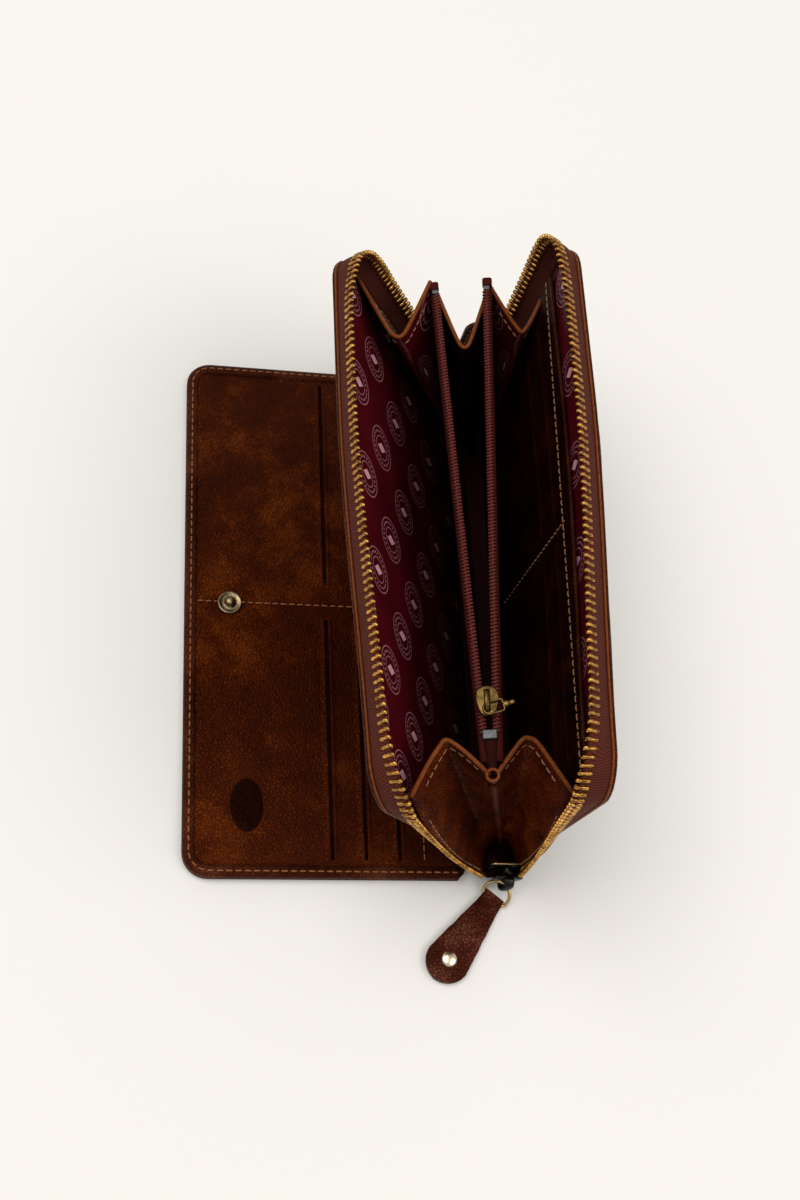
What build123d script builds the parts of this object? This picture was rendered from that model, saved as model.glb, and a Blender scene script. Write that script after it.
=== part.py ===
from build123d import *
import os
from math import asin, atan, cos, degrees, hypot, radians, sin, tan

# A zip around wallet standing open on its spine, with its flap laid out flat on the left.
# +Y runs along the spine, +X towards the right cover, +Z up. The origin is the centre of the
# spine's underside. Lengths are in millimetres and angles in degrees.

# Spine and covers
SPINE_WIDTH = 17.0
SPINE_HALF_LENGTH = 90.0
SPINE_LEATHER = 1.4
SPINE_LINING = 0.5
PIVOT_X = SPINE_WIDTH / 2
PIVOT_Z = 2.0
LEFT_LEAN = 35.0
RIGHT_LEAN = 2.4
COVER_HEIGHT = 101.0
COVER_HALF_TOP = 100.0
COVER_HALF_BOTTOM = 91.0
COVER_CORNER = 13.0
COVER_START = 0.5
OUTER_FACE = -2.0
LEATHER_INNER_FACE = -0.6
LINING_BASE = 0.0
LINING_FACE = 0.4
LINING_MARGIN = 2.5

# Main zip: each half leans in from its cover's edge, so that the halves meet when closed
TAPE_BEND = 50.0
TOOTH_LENGTH = 4.0
TOOTH_WIDTH = 1.35
TOOTH_THICK = 1.7
TOOTH_PITCH = 2.55
TAPE_NOTCH = 0.8
CLOSED_HALF_GAP = 0.8
CHAIN_START = 7.0
CHAIN_REACH = (PIVOT_X - CLOSED_HALF_GAP) / sin(radians(TAPE_BEND)) - TOOTH_LENGTH / 2
CHAIN_OUT = CHAIN_REACH * cos(radians(TAPE_BEND))
CHAIN_IN = CHAIN_REACH * sin(radians(TAPE_BEND))
END_RUN_TILT = degrees(atan((COVER_HALF_TOP - COVER_HALF_BOTTOM) / COVER_HEIGHT))

# Flap
FLAP_EDGE_X = -110.0
FLAP_INNER_X = -15.2
FLAP_HALF_LENGTH = 100.0
FLAP_CORNER = 9.0
FLAP_LEATHER = 1.2
FLAP_PANEL_BASE = 2.4
FLAP_PANEL_TOP = 3.6
FLAP_BINDING_TOP = 4.0
BINDING_WIDTH = 3.8
FLAP_SLOT_X = (-59.1, -47.35, -35.6)
SLOT_WIDTH = 1.2
FLAP_FAR_SLOT = (9.1, 94.0)
FLAP_NEAR_SLOT = (-94.0, -5.2)
POCKET_CLOTH = 0.3

# Snap fastener
SNAP_X = -94.0
SNAP_CAP_RADIUS = 5.5
SNAP_STUD_RADIUS = 4.5
SNAP_POST_RADIUS = 1.5
SNAP_NIPPLE_RADIUS = 1.6
SNAP_SOCKET_BORE = 2.2
SNAP_SOCKET_HEIGHT = 83.3

# Card panel inside the right cover
CARD_PANEL_TOP = 82.0
CARD_PANEL_BOTTOM = 4.0
CARD_PANEL_BASE = 1.5
CARD_PANEL_FACE = 2.5
CARD_SLOT_HEIGHTS = (67.0, 54.0)
CARD_POCKET_DEPTH = 49.0

# Coin pocket between the covers, leaning to the left on its base seam
COIN_X = 0.5
COIN_Z = 3.2
COIN_LEAN = 17.0
COIN_NEAR_Y = -82.0
COIN_FAR_BOTTOM_Y = 88.0
COIN_FAR_TOP_Y = 96.0
COIN_HINGE_Y = -84.0
COIN_WALL = 0.8
COIN_WALL_LOW = 2.0
COIN_WALL_TOP = 71.0
COIN_TAPE_LOW = 71.4
COIN_ZIP_HEIGHT = 75.0
COIN_LEFT_OPEN = 2.05
COIN_RIGHT_OPEN = 2.7
COIL_OFFSET = 1.6
COIL_HALF = 0.8
COIN_SLIDER_Y = -63.0
COIN_PULL_HEIGHT = 78.95
COIN_PULL_TURN = 12.0
BAIL_LEG_OFFSET = 2.75

# Main slider, ring and pull tab at the near end of the spine
SLIDER_HEIGHT = 6.0
SLIDER_LENGTH = 10.0
BAIL_OUT = 5.6
RING_WIRE = 0.52
RING_HALF_WIDTH = 4.7
RING_DEPTH = 6.5
PULL_TURN = 39.0
TAB_THICK = 2.6
TAB_SLEEVE = 1.5
TAB_BORE = 0.9
TAB_LENGTH = 35.0
TAB_START_HALF = 3.9
TAB_END_RADIUS = 7.7
RIVET_X = 27.0


def write(name, shape):
    export_step(shape, f"parts/{name}.step")


def block(x, y, z):
    """A box from three (low, high) pairs."""
    size = [high - low for low, high in (x, y, z)]
    middle = [(low + high) / 2 for low, high in (x, y, z)]
    return Pos(*middle) * Box(*size)


# ---- covers: built upright with the pivot at the origin and the inside towards +X ----


def cover_outline(margin):
    """The cover's outline, wider at the top than at the spine, with two round top corners."""
    top = COVER_HALF_TOP - margin
    low = COVER_HALF_BOTTOM - margin
    high = COVER_HEIGHT - margin
    corners = [(-low, COVER_START), (low, COVER_START), (top, high), (-top, high)]
    outline = Plane.YZ * Polygon(*corners, align=None)
    return fillet(outline.vertices().sort_by(Axis.Z)[-2:], COVER_CORNER - margin)


def cover_layer(base, face, margin):
    return Pos(base, 0, 0) * extrude(cover_outline(margin), face - base, dir=(1, 0, 0))


def zip_tape():
    """The half tape round three sides, as a sloping skirt cut into runs and corners."""
    base = LEATHER_INNER_FACE
    depth = CHAIN_IN - base
    slope = TAPE_BEND - 90
    outside = extrude(cover_outline(0.2), depth, taper=slope)
    inside = extrude(cover_outline(1.1), depth, taper=slope)
    skirt = Pos(base, 0, 0) * (outside - inside)
    reach = 130.0
    skirt = skirt & block((-1, reach), (-reach, reach), (COVER_START, reach))
    corner_y = COVER_HALF_TOP - COVER_CORNER
    corner_z = COVER_HEIGHT - COVER_CORNER
    low = (-1, corner_z)
    high = (corner_z, reach)
    regions = [((-reach, 0), low), ((0, reach), low)]
    regions += [((-reach, -corner_y), high), ((-corner_y, corner_y), high), ((corner_y, reach), high)]
    return Compound([s for y, z in regions for s in (skirt & block((-1, reach), y, z)).solids()])


def chain_path():
    """The line through the middles of the teeth, from the near foot over the top to the far foot."""
    lean = radians(END_RUN_TILT)
    low = COVER_HALF_BOTTOM + CHAIN_OUT / cos(lean)
    high = COVER_HEIGHT + CHAIN_OUT
    foot = low + CHAIN_START * tan(lean)
    top = low + high * tan(lean)
    corners = [(-foot, CHAIN_START), (-top, high), (top, high), (foot, CHAIN_START)]
    points = [(CHAIN_IN, y, z) for y, z in corners]
    return FilletPolyline(*points, radius=COVER_CORNER + CHAIN_OUT)


def zip_teeth(first):
    """Teeth at an even pitch, each clasping the tape's edge and pointing to the other half."""
    path = chain_path()
    notch = Pos(-TOOTH_LENGTH / 2, 0, -0.1) * Box(TOOTH_LENGTH + 1, 2 * TOOTH_WIDTH, TAPE_NOTCH)
    tooth = Box(TOOTH_LENGTH, TOOTH_WIDTH, TOOTH_THICK) - notch
    count = int((path.length - first) / TOOTH_PITCH)
    teeth = []
    for i in range(count):
        share = (first + i * TOOTH_PITCH) / path.length
        along = path.tangent_at(share)
        outward = along.cross(Vector(1, 0, 0)) * -1
        reach = outward * cos(radians(TAPE_BEND)) + Vector(1, 0, 0) * sin(radians(TAPE_BEND))
        place = Plane(origin=path.position_at(share), x_dir=reach, z_dir=reach.cross(along))
        teeth.append((place * tooth).solid())
    return Compound(teeth)


def on_left(shape):
    return Pos(-PIVOT_X, 0, PIVOT_Z) * Rot(0, -LEFT_LEAN, 0) * shape


def on_right(shape):
    return Pos(PIVOT_X, 0, PIVOT_Z) * Rot(0, RIGHT_LEAN, 0) * mirror(shape, about=Plane.YZ)


def snap_socket():
    """The ring on the left cover's outer face that the flap's stud presses into."""
    face = Plane(origin=(OUTER_FACE, 0, SNAP_SOCKET_HEIGHT), z_dir=(-1, 0, 0))
    ring = Circle(SNAP_STUD_RADIUS) - Circle(SNAP_SOCKET_BORE)
    raised = Circle(SNAP_STUD_RADIUS - 1.2) - Circle(SNAP_SOCKET_BORE)
    return extrude(face * ring, 0.6) + extrude(face * raised, 1.1)


def card_panel():
    """A leather panel with two slots in each of two columns, cut from the cover's outline."""
    band = block((-5, 5), (-120, 120), (CARD_PANEL_BOTTOM, CARD_PANEL_TOP))
    panel = cover_layer(CARD_PANEL_BASE, CARD_PANEL_FACE, LINING_MARGIN + 1) & band
    for height in CARD_SLOT_HEIGHTS:
        for column in ((5.0, 88.0), (-88.0, -3.0)):
            panel -= block((0, 5), column, (height, height + SLOT_WIDTH))
    return panel


def card_pockets():
    """One cloth pocket below each slot of the card panel."""
    pockets = []
    for layer, height in enumerate(CARD_SLOT_HEIGHTS):
        base = LINING_FACE + 0.1 + layer * 0.4
        for column in ((4.0, 87.0), (-87.0, -2.0)):
            pockets.append(block((base, base + POCKET_CLOTH), column, (height - CARD_POCKET_DEPTH, height)))
    return pockets


def make_covers():
    for side, place, first in (("left", on_left, 0.6), ("right", on_right, 0.6 + TOOTH_PITCH / 2)):
        write(f"{side}_cover_leather", place(cover_layer(OUTER_FACE, LEATHER_INNER_FACE, 0)))
        write(f"{side}_cover_board", place(cover_layer(LEATHER_INNER_FACE, LINING_BASE, LINING_MARGIN)))
        write(f"{side}_cover_lining", place(cover_layer(LINING_BASE, LINING_FACE, LINING_MARGIN)))
        write(f"{side}_zip_tape", place(zip_tape()))
        write(f"{side}_zip_teeth", place(zip_teeth(first)))
    write("cover_snap_socket", on_left(snap_socket()))
    write("right_card_panel", on_right(card_panel()))
    for number, pocket in enumerate(card_pockets(), 1):
        write(f"right_card_pocket_{number}", on_right(pocket))


# ---- flap: lies flat, inner face up ----


def flap_outline(margin):
    left = FLAP_EDGE_X + margin
    half = FLAP_HALF_LENGTH - margin
    corners = [(left, -half), (FLAP_INNER_X, -half), (FLAP_INNER_X, half), (left, half)]
    outline = Polygon(*corners, align=None)
    return fillet(outline.vertices().sort_by(Axis.X)[:2], FLAP_CORNER - margin)


def flap_layer(base, top, margin):
    return Pos(0, 0, base) * extrude(flap_outline(margin), top - base)


def post_hole():
    return Pos(SNAP_X, 0, 2) * Cylinder(SNAP_POST_RADIUS + 0.2, 8)


def flap_outer_leather():
    cap_seat = Pos(SNAP_X, 0, 0) * Cylinder(SNAP_CAP_RADIUS + 0.1, 1.4)
    return flap_layer(0, FLAP_LEATHER, 0) - cap_seat - post_hole()


def flap_card_panel():
    """The inner leather face, with three slots in each of two columns."""
    panel = flap_layer(FLAP_PANEL_BASE, FLAP_PANEL_TOP, BINDING_WIDTH) - post_hole()
    for x in FLAP_SLOT_X:
        for column in (FLAP_FAR_SLOT, FLAP_NEAR_SLOT):
            panel -= block((x - SLOT_WIDTH / 2, x + SLOT_WIDTH / 2), column, (0, 5))
    return panel


def flap_binding():
    """The turned leather edge round the flap's three free sides."""
    inside = flap_layer(FLAP_LEATHER, FLAP_BINDING_TOP, BINDING_WIDTH)
    return flap_layer(FLAP_LEATHER, FLAP_BINDING_TOP, 0) - inside


def flap_pockets():
    """One cloth pocket behind each slot, reaching towards the flap's free edge."""
    pockets = []
    for layer, x in enumerate(FLAP_SLOT_X):
        base = FLAP_LEATHER + 0.05 + layer * 0.37
        for column in ((6.0, 94.5), (-94.5, -4.5)):
            depth = (x - CARD_POCKET_DEPTH + 5, x)
            pockets.append(block(depth, column, (base, base + POCKET_CLOTH)))
    return pockets


def snap_cap():
    cap = Pos(SNAP_X, 0, 0.35) * Cylinder(SNAP_CAP_RADIUS, 0.6)
    post_top = FLAP_PANEL_TOP - 0.05
    return cap + Pos(SNAP_X, 0, post_top / 2 + 0.2) * Cylinder(SNAP_POST_RADIUS, post_top - 0.4)


def snap_stud():
    base = Pos(SNAP_X, 0, FLAP_PANEL_TOP + 0.35) * Cylinder(SNAP_STUD_RADIUS, 0.7)
    nipple = Pos(SNAP_X, 0, FLAP_PANEL_TOP + 1.5) * Cylinder(SNAP_NIPPLE_RADIUS, 1.8)
    return base + nipple


def make_flap():
    write("flap_outer_leather", flap_outer_leather())
    write("flap_card_panel", flap_card_panel())
    write("flap_edge_binding", flap_binding())
    for number, pocket in enumerate(flap_pockets(), 1):
        write(f"flap_card_pocket_{number}", pocket)
    write("flap_snap_cap", snap_cap())
    write("flap_snap_stud", snap_stud())


# ---- coin pocket: built upright with its base seam at the origin ----


def on_coin(shape):
    return Pos(COIN_X, 0, COIN_Z) * Rot(0, -COIN_LEAN, 0) * shape


def sheet_between(low_line, low_z, high_line, high_z, thick):
    """A thin sheet whose lower and upper edges follow two lines of (x, y) points."""
    faces = []
    for line, z in ((low_line, low_z), (high_line, high_z)):
        faces.append(Pos(0, 0, z) * folded_strip(line, thick))
    return loft(faces, ruled=True)


def folded_strip(line, thick):
    """The outline of a strip of even thickness along a line of (x, y) points."""
    rails = ([], [])
    for i, (x, y) in enumerate(line):
        before = line[max(i - 1, 0)]
        after = line[min(i + 1, len(line) - 1)]
        normals = []
        for a, b in ((before, (x, y)), ((x, y), after)):
            length = hypot(b[0] - a[0], b[1] - a[1])
            if length > 0:
                normals.append(((a[1] - b[1]) / length, (b[0] - a[0]) / length))
        mean = [sum(n[k] for n in normals) / len(normals) for k in (0, 1)]
        square = mean[0] ** 2 + mean[1] ** 2
        shift = [m / square * thick / 2 for m in mean]
        rails[0].append((x + shift[0], y + shift[1]))
        rails[1].append((x - shift[0], y - shift[1]))
    return Polygon(*rails[0], *reversed(rails[1]), align=None)


def opened(side, shape):
    """Swings one half of the mouth open about its near end. side is -1 on the left, 1 on the right."""
    angle = COIN_LEFT_OPEN if side < 0 else COIN_RIGHT_OPEN
    return Pos(0, COIN_HINGE_Y, 0) * Rot(0, 0, -side * angle) * Pos(0, -COIN_HINGE_Y, 0) * shape


def coin_spread(side):
    """How far one half of the mouth stands open at its far end."""
    angle = COIN_LEFT_OPEN if side < 0 else COIN_RIGHT_OPEN
    return sin(radians(angle)) * (COIN_FAR_TOP_Y - COIN_HINGE_Y)


def coin_wall(side):
    low = [(side * 1.3, COIN_NEAR_Y), (side * 4.4, COIN_FAR_BOTTOM_Y)]
    top = [(side * 2.2, COIN_NEAR_Y), (side * (2.2 + coin_spread(side)), COIN_FAR_TOP_Y)]
    return sheet_between(low, COIN_WALL_LOW, top, COIN_WALL_TOP, COIN_WALL)


def coin_tape(side):
    """The half tape between the wall's top edge and the coil."""
    section = Plane.XZ * Polygon(
        (side * (COIL_OFFSET + 0.9), COIN_ZIP_HEIGHT),
        (side * (COIL_OFFSET + 1.5), COIN_ZIP_HEIGHT),
        (side * (COIL_OFFSET + 0.9), COIN_TAPE_LOW),
        (side * (COIL_OFFSET + 0.3), COIN_TAPE_LOW),
        align=None,
    )
    tape = extrude(Pos(0, COIN_NEAR_Y, 0) * section, COIN_FAR_TOP_Y - COIN_NEAR_Y, dir=(0, 1, 0))
    return opened(side, tape)


def coin_coil(side):
    """The half of the spiral zip, left plain as one bar."""
    low = COIL_OFFSET - COIL_HALF
    across = sorted((side * low, side * (low + 1.5)))
    return opened(side, block(across, (-72.0, 91.0), (COIN_ZIP_HEIGHT + 0.1, COIN_ZIP_HEIGHT + 1.5)))


def coin_top_stop(side):
    low = COIL_OFFSET - COIL_HALF
    across = sorted((side * low, side * (low + 1.9)))
    return opened(side, block(across, (91.2, 93.8), (COIN_ZIP_HEIGHT + 0.1, COIN_ZIP_HEIGHT + 2.1)))


def coin_slider():
    """Two plates over and under the coils, joined by a neck between them, with a bail on top."""
    low = COIN_ZIP_HEIGHT - 1.6
    high = COIN_ZIP_HEIGHT + 2.1
    corners = [(-2.6, -4), (2.6, -4), (4.2, 2.6), (2.6, 4.6), (-2.6, 4.6), (-4.2, 2.6)]
    plate = Pos(0, COIN_SLIDER_Y, 0) * Polygon(*corners, align=None)
    narrow = Pos(0, COIN_SLIDER_Y, 0) * Rectangle(1.6, 6)
    body = Pos(0, 0, high) * extrude(plate, 0.9)
    body += Pos(0, 0, low) * extrude(narrow, 0.8)
    body += block((-0.4, 0.4), (COIN_SLIDER_Y + 0.4, COIN_SLIDER_Y + 2.6), (low, high + 0.1))
    bail = block((-0.4, 0.4), (COIN_SLIDER_Y - 3.2, COIN_SLIDER_Y + 3.2), (high + 0.8, high + 3.6))
    hole = block((-1, 1), (COIN_SLIDER_Y - 2.3, COIN_SLIDER_Y + 2.3), (high + 0.9, high + 2.8))
    return body + (bail - hole)


def coin_pull():
    """A flat link whose window goes round the near leg of the coin slider's bail."""
    link = block((-1.5, 5.4), (-2.4, 2.4), (-0.38, 0.38)) - block((-0.75, 4.4), (-1.6, 1.6), (-1, 1))
    link += block((5.3, 8.8), (-0.9, 0.9), (-0.38, 0.38))
    return Pos(0, COIN_SLIDER_Y - BAIL_LEG_OFFSET, COIN_PULL_HEIGHT) * Rot(0, 0, COIN_PULL_TURN) * link


def coin_middle_gusset():
    """The inward fold that joins the two coin walls at the far end."""
    left = -coin_spread(-1) - 1.0
    right = coin_spread(1) + 1.0
    top = [(left, 94.5), ((left + right) / 2, 66.0), (right, 94.5)]
    low = [(-4.0, 86.0), (0.0, 62.0), (4.0, 86.0)]
    return sheet_between(low, 10.0, top, COIN_WALL_TOP - 1, 0.5)


def make_coin_pocket():
    write("coin_pocket_base", on_coin(block((-3.4, 3.4), (COIN_NEAR_Y, COIN_FAR_BOTTOM_Y), (0, 1.5))))
    write("far_gusset_middle", on_coin(coin_middle_gusset()))
    stop = block((-2.2, 2.2), (-74.6, -72.4), (COIN_ZIP_HEIGHT + 0.1, COIN_ZIP_HEIGHT + 1.5))
    write("coin_zip_bottom_stop", on_coin(stop))
    tail = block((-0.4, 0.4), (-82.0, -74.8), (COIN_TAPE_LOW, COIN_ZIP_HEIGHT + 1.4))
    write("coin_zip_tail", on_coin(tail))
    loop = Pos(0, -86.0, COIN_ZIP_HEIGHT - 1) * (Cylinder(2.1, 6) - Cylinder(1.3, 6))
    write("coin_zip_loop", on_coin(loop))
    for side, name in ((-1, "left"), (1, "right")):
        write(f"coin_wall_{name}", on_coin(coin_wall(side)))
        write(f"coin_zip_tape_{name}", on_coin(coin_tape(side)))
        write(f"coin_zip_coil_{name}", on_coin(coin_coil(side)))
        write(f"coin_zip_top_stop_{name}", on_coin(coin_top_stop(side)))
    write("coin_slider_body", on_coin(coin_slider()))
    write("coin_slider_pull", on_coin(coin_pull()))


# ---- spine and the folded gussets between the covers and the coin pocket ----


def at_left_cover(height, inward):
    """The x of a point beside the left cover's inner face, at a height above the floor."""
    lean = radians(LEFT_LEAN)
    up = (height - PIVOT_Z - inward * sin(lean)) / cos(lean)
    return -PIVOT_X - up * sin(lean) + inward * cos(lean)


def at_right_cover(height, inward):
    lean = radians(RIGHT_LEAN)
    return PIVOT_X + (height - PIVOT_Z) * tan(lean) - inward


def at_coin_pocket(height, across):
    """The x of a point at a distance to the right of the coin pocket's middle plane."""
    lean = radians(COIN_LEAN)
    return COIN_X - (height - COIN_Z) * tan(lean) + across / cos(lean)


def make_gussets():
    low, high = 12.0, 73.0
    mouth_left = at_coin_pocket(high, -coin_spread(-1) - 3.6)
    mouth_right = at_coin_pocket(high, coin_spread(1) + 3.6)
    far_left = [
        [(at_left_cover(low, 1.3), 87.5), (-9.5, 62.0), (at_coin_pocket(low, -6.2), 88.5)],
        [(at_left_cover(high, 1.3), 94.0), (-43.0, 66.5), (mouth_left, 96.0)],
    ]
    far_right = [
        [(at_right_cover(low, 3.2), 87.5), (5.6, 66.0), (at_coin_pocket(low, 6.2), 88.5)],
        [(at_right_cover(high, 3.2), 95.0), (1.2, 73.0), (mouth_right, 96.0)],
    ]
    near_left = [
        [(at_left_cover(low, 1.3), -87.5), (-9.0, -71.0), (at_coin_pocket(low, -2.9), -84.5)],
        [(at_left_cover(high, 1.3), -94.0), (-36.0, -75.5), (at_coin_pocket(high, -3.2), -84.5)],
    ]
    near_right = [
        [(at_right_cover(low, 3.2), -87.5), (3.5, -71.0), (at_coin_pocket(low, 2.9), -84.5)],
        [(at_right_cover(high, 3.2), -95.0), (-8.0, -74.0), (at_coin_pocket(high, 3.2), -84.5)],
    ]
    gussets = {"far_gusset_left": far_left, "far_gusset_right": far_right}
    gussets |= {"near_gusset_left": near_left, "near_gusset_right": near_right}
    for name, (low_line, high_line) in gussets.items():
        write(name, sheet_between(low_line, low, high_line, high, 0.5))


def zip_end_tab():
    """The upright leather tab outside the far foot of the main zip."""
    outline = Plane.XZ * Pos(-1.5, 0) * (Pos(0, 16.0) * Rectangle(12.0, 32.0) + Pos(0, 32.0) * Circle(6.0))
    return Pos(0, 104.4, 0) * extrude(outline, 1.6, dir=(0, -1, 0))


def make_spine():
    half = PIVOT_X - 0.3
    top = SPINE_LEATHER + SPINE_LINING
    write("spine_leather", block((-half, half), (-SPINE_HALF_LENGTH, SPINE_HALF_LENGTH), (0, SPINE_LEATHER)))
    end = SPINE_HALF_LENGTH - 1
    write("spine_lining", block((0.2 - half, half - 0.2), (-end, end), (SPINE_LEATHER, top)))
    stop_y = (SPINE_HALF_LENGTH + 4.6, SPINE_HALF_LENGTH + 7.0)
    write("zip_bottom_stop", block((-1.6, 1.6), stop_y, (0.4, 3.4)))
    write("zip_end_tab", zip_end_tab())
    make_gussets()


# ---- main slider: built with the chain's middle at the origin, +Z up the chain, -Y outwards ----


def on_chain(shape):
    """Puts a shape on the near chain at the slider's height, in the right cover's leaning frame."""
    lean = radians(END_RUN_TILT)
    y = COVER_HALF_BOTTOM + SLIDER_HEIGHT * tan(lean) + CHAIN_OUT / cos(lean)
    upright = Pos(-PIVOT_X, -y, SLIDER_HEIGHT) * Rot(END_RUN_TILT, 0, 0) * shape
    return Pos(PIVOT_X, 0, PIVOT_Z) * Rot(0, RIGHT_LEAN, 0) * upright


def slider_plate(top_half, low_half, base, face):
    half = SLIDER_LENGTH / 2
    outline = Polygon((-low_half, -half), (low_half, -half), (top_half, half), (-top_half, half), align=None)
    outline = fillet(outline.vertices(), 1.2)
    return Pos(0, -base, 0) * extrude(Plane.XZ * outline, face - base)


def main_slider():
    """An inner and an outer plate with a neck between the chains, and a bail for the ring."""
    body = slider_plate(3.3, 2.2, -3.6, -2.4)
    body += slider_plate(6.0, 4.2, 2.2, 3.1)
    body += block((-0.22, 0.22), (-2.3, 2.5), (1.0, 4.0))
    bail = block((-0.55, 0.55), (-7.75, -3.0), (-4.8, 2.4))
    hole = block((-1, 1), (-7.05, -4.1), (-4.0, 1.6))
    return body + (bail - hole)


def bail_centre():
    """Where the ring passes through the bail, at rest."""
    return on_chain(Pos(0, -BAIL_OUT, -2.6) * Vertex(0, 0, 0)).center()


def ring_slope():
    """How steeply the ring slopes down from the bail to its bar inside the tab."""
    return degrees(asin((bail_centre().Z - TAB_SLEEVE) / RING_DEPTH))


def pull_ring():
    """A D of round wire: a straight bar at the origin along Y, the bow towards -X."""
    bow_x = RING_HALF_WIDTH - RING_DEPTH
    bow = Torus(RING_HALF_WIDTH, RING_WIRE) & block((-20, 0), (-20, 20), (-5, 5))
    ring = Pos(bow_x, 0, 0) * bow + Rot(90, 0, 0) * Cylinder(RING_WIRE, 2 * RING_HALF_WIDTH)
    for side in (-1, 1):
        leg = Rot(0, 90, 0) * Cylinder(RING_WIRE, -bow_x)
        ring += Pos(bow_x / 2, side * RING_HALF_WIDTH, 0) * leg
        ring += Pos(0, side * RING_HALF_WIDTH, 0) * Sphere(RING_WIRE)
    return ring


def at_pull(shape, slope=0):
    """Places a pull piece built along +X from the ring's bar, turned towards the flap."""
    bail = bail_centre()
    reach = RING_DEPTH * cos(radians(ring_slope()))
    turn = radians(-90 - PULL_TURN)
    bar = (bail.X + reach * cos(turn), bail.Y + reach * sin(turn), TAB_SLEEVE)
    return Pos(*bar) * Rot(0, 0, -90 - PULL_TURN) * Rot(0, slope, 0) * shape


def pull_tab():
    """The folded leather tab: a sleeve round the bar, widening to a round end."""
    straight = TAB_LENGTH - TAB_END_RADIUS
    corners = [(0, -TAB_START_HALF), (straight, -TAB_END_RADIUS)]
    corners += [(straight, TAB_END_RADIUS), (0, TAB_START_HALF)]
    outline = Polygon(*corners, align=None) + Pos(straight, 0) * Circle(TAB_END_RADIUS)
    tab = Pos(0, 0, -TAB_SLEEVE) * extrude(outline, TAB_THICK)
    tab += Rot(90, 0, 0) * Cylinder(TAB_SLEEVE, 2 * TAB_START_HALF)
    tab -= Rot(90, 0, 0) * Cylinder(TAB_BORE, 3 * TAB_START_HALF)
    return tab - Pos(RIVET_X, 0, 0) * Cylinder(1.6, 10)


def pull_rivet():
    top = TAB_THICK - TAB_SLEEVE
    rivet = Pos(RIVET_X, 0, (top - TAB_SLEEVE) / 2) * Cylinder(1.5, TAB_THICK - 0.1)
    return rivet + Pos(RIVET_X, 0, top + 0.3) * Cylinder(2.6, 0.6)


def make_slider_and_pull():
    write("main_slider_body", on_chain(main_slider()))
    write("pull_ring", at_pull(pull_ring(), slope=ring_slope()))
    write("pull_tab_leather", at_pull(pull_tab()))
    write("pull_tab_rivet", at_pull(pull_rivet()))
    bail = bail_centre()
    bar = at_pull(Vertex(0, 0, 0)).center()
    print("ring pivot", tuple(bail), "bar", tuple(bar), "slope", ring_slope())
    print("chain up", on_chain(Vertex(0, 0, 1)).center() - on_chain(Vertex(0, 0, 0)).center())


os.makedirs("parts", exist_ok=True)
make_spine()
make_covers()
make_flap()
make_coin_pocket()
make_slider_and_pull()
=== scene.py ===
"""A long leather zip around wallet, standing open with its flap laid out flat."""
import random
from math import asin, atan, atan2, copysign, cos, degrees, exp, hypot, pi, radians, sin, sqrt, tan

import bmesh
import bpy
from mathutils import Matrix, Vector, noise


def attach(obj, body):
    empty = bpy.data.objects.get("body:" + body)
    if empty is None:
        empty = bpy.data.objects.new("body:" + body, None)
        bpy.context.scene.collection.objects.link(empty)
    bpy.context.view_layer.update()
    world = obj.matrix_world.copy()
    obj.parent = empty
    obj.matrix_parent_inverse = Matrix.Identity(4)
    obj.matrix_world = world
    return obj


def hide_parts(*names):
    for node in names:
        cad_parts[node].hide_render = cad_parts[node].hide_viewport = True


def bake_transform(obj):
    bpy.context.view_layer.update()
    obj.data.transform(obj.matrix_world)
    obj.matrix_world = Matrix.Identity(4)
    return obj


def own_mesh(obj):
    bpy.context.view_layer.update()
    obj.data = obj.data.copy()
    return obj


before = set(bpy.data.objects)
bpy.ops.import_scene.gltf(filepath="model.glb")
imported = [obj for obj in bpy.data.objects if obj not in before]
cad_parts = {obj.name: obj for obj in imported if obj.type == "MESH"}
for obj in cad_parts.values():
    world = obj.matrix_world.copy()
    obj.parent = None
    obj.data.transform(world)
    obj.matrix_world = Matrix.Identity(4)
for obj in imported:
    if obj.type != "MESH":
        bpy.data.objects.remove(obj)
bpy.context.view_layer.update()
MM = 0.001

# Sizes shared with the CAD model, in millimetres and degrees
PIVOT_X = 8.5
PIVOT_Z = 2.0
LEFT_LEAN = 35.0
RIGHT_LEAN = 2.4
COIN_LEAN = 17.0
COIN_X = 0.5
COIN_Z = 3.2
COVER_HEIGHT = 101.0
COVER_HALF_TOP = 100.0
COVER_HALF_BOTTOM = 91.0
COVER_CORNER = 13.0
COVER_FOOT = 0.5
CHAIN_OUT = 5.17
CHAIN_IN = 6.17
CHAIN_REACH = hypot(CHAIN_OUT, CHAIN_IN)
TAPE_BEND = 50.0
FLAP_EDGE_X = -110.0
FLAP_INNER_X = -15.2
FLAP_HALF = 100.0
FLAP_CORNER = 9.0
FLAP_CENTRE_Y = 0.3
FLAP_SEAM_X = -27.2
SLOT_X = (-59.1, -47.35, -35.6)
CARD_SLOTS = (67.0, 54.0)
CARD_TOP = 82.0
CARD_SPANS = ((5.0, 88.0), (-88.0, -3.0))
CARD_POCKET_SPANS = ((4.0, 87.0), (-87.0, -2.0))
CARD_POCKET_DEPTH = 49.0
FLAP_SPANS = ((9.1, 94.0), (-94.0, -5.2))
FLAP_POCKET_SPANS = ((6.0, 94.5), (-94.5, -4.5))
FLAP_POCKET_DEPTH = 44.0
SNAP_X = -94.0
SNAP_SOCKET_HEIGHT = 83.3
COIN_HINGE_Y = -84.0
COIN_SLIDER_Y = -63.0
COIN_OPEN = {-1: 2.05, 1: 2.7}
COIN_LENGTH = 180.0
COIN_TOP = 75.0
COIN_WALL_LOW = 2.0
COIN_WALL_TOP = 71.5
COIN_LEG_Y = COIN_SLIDER_Y - 2.75
COIN_PULL_TURN = 12.0
COIN_PULL_HEIGHT = 78.95
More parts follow.
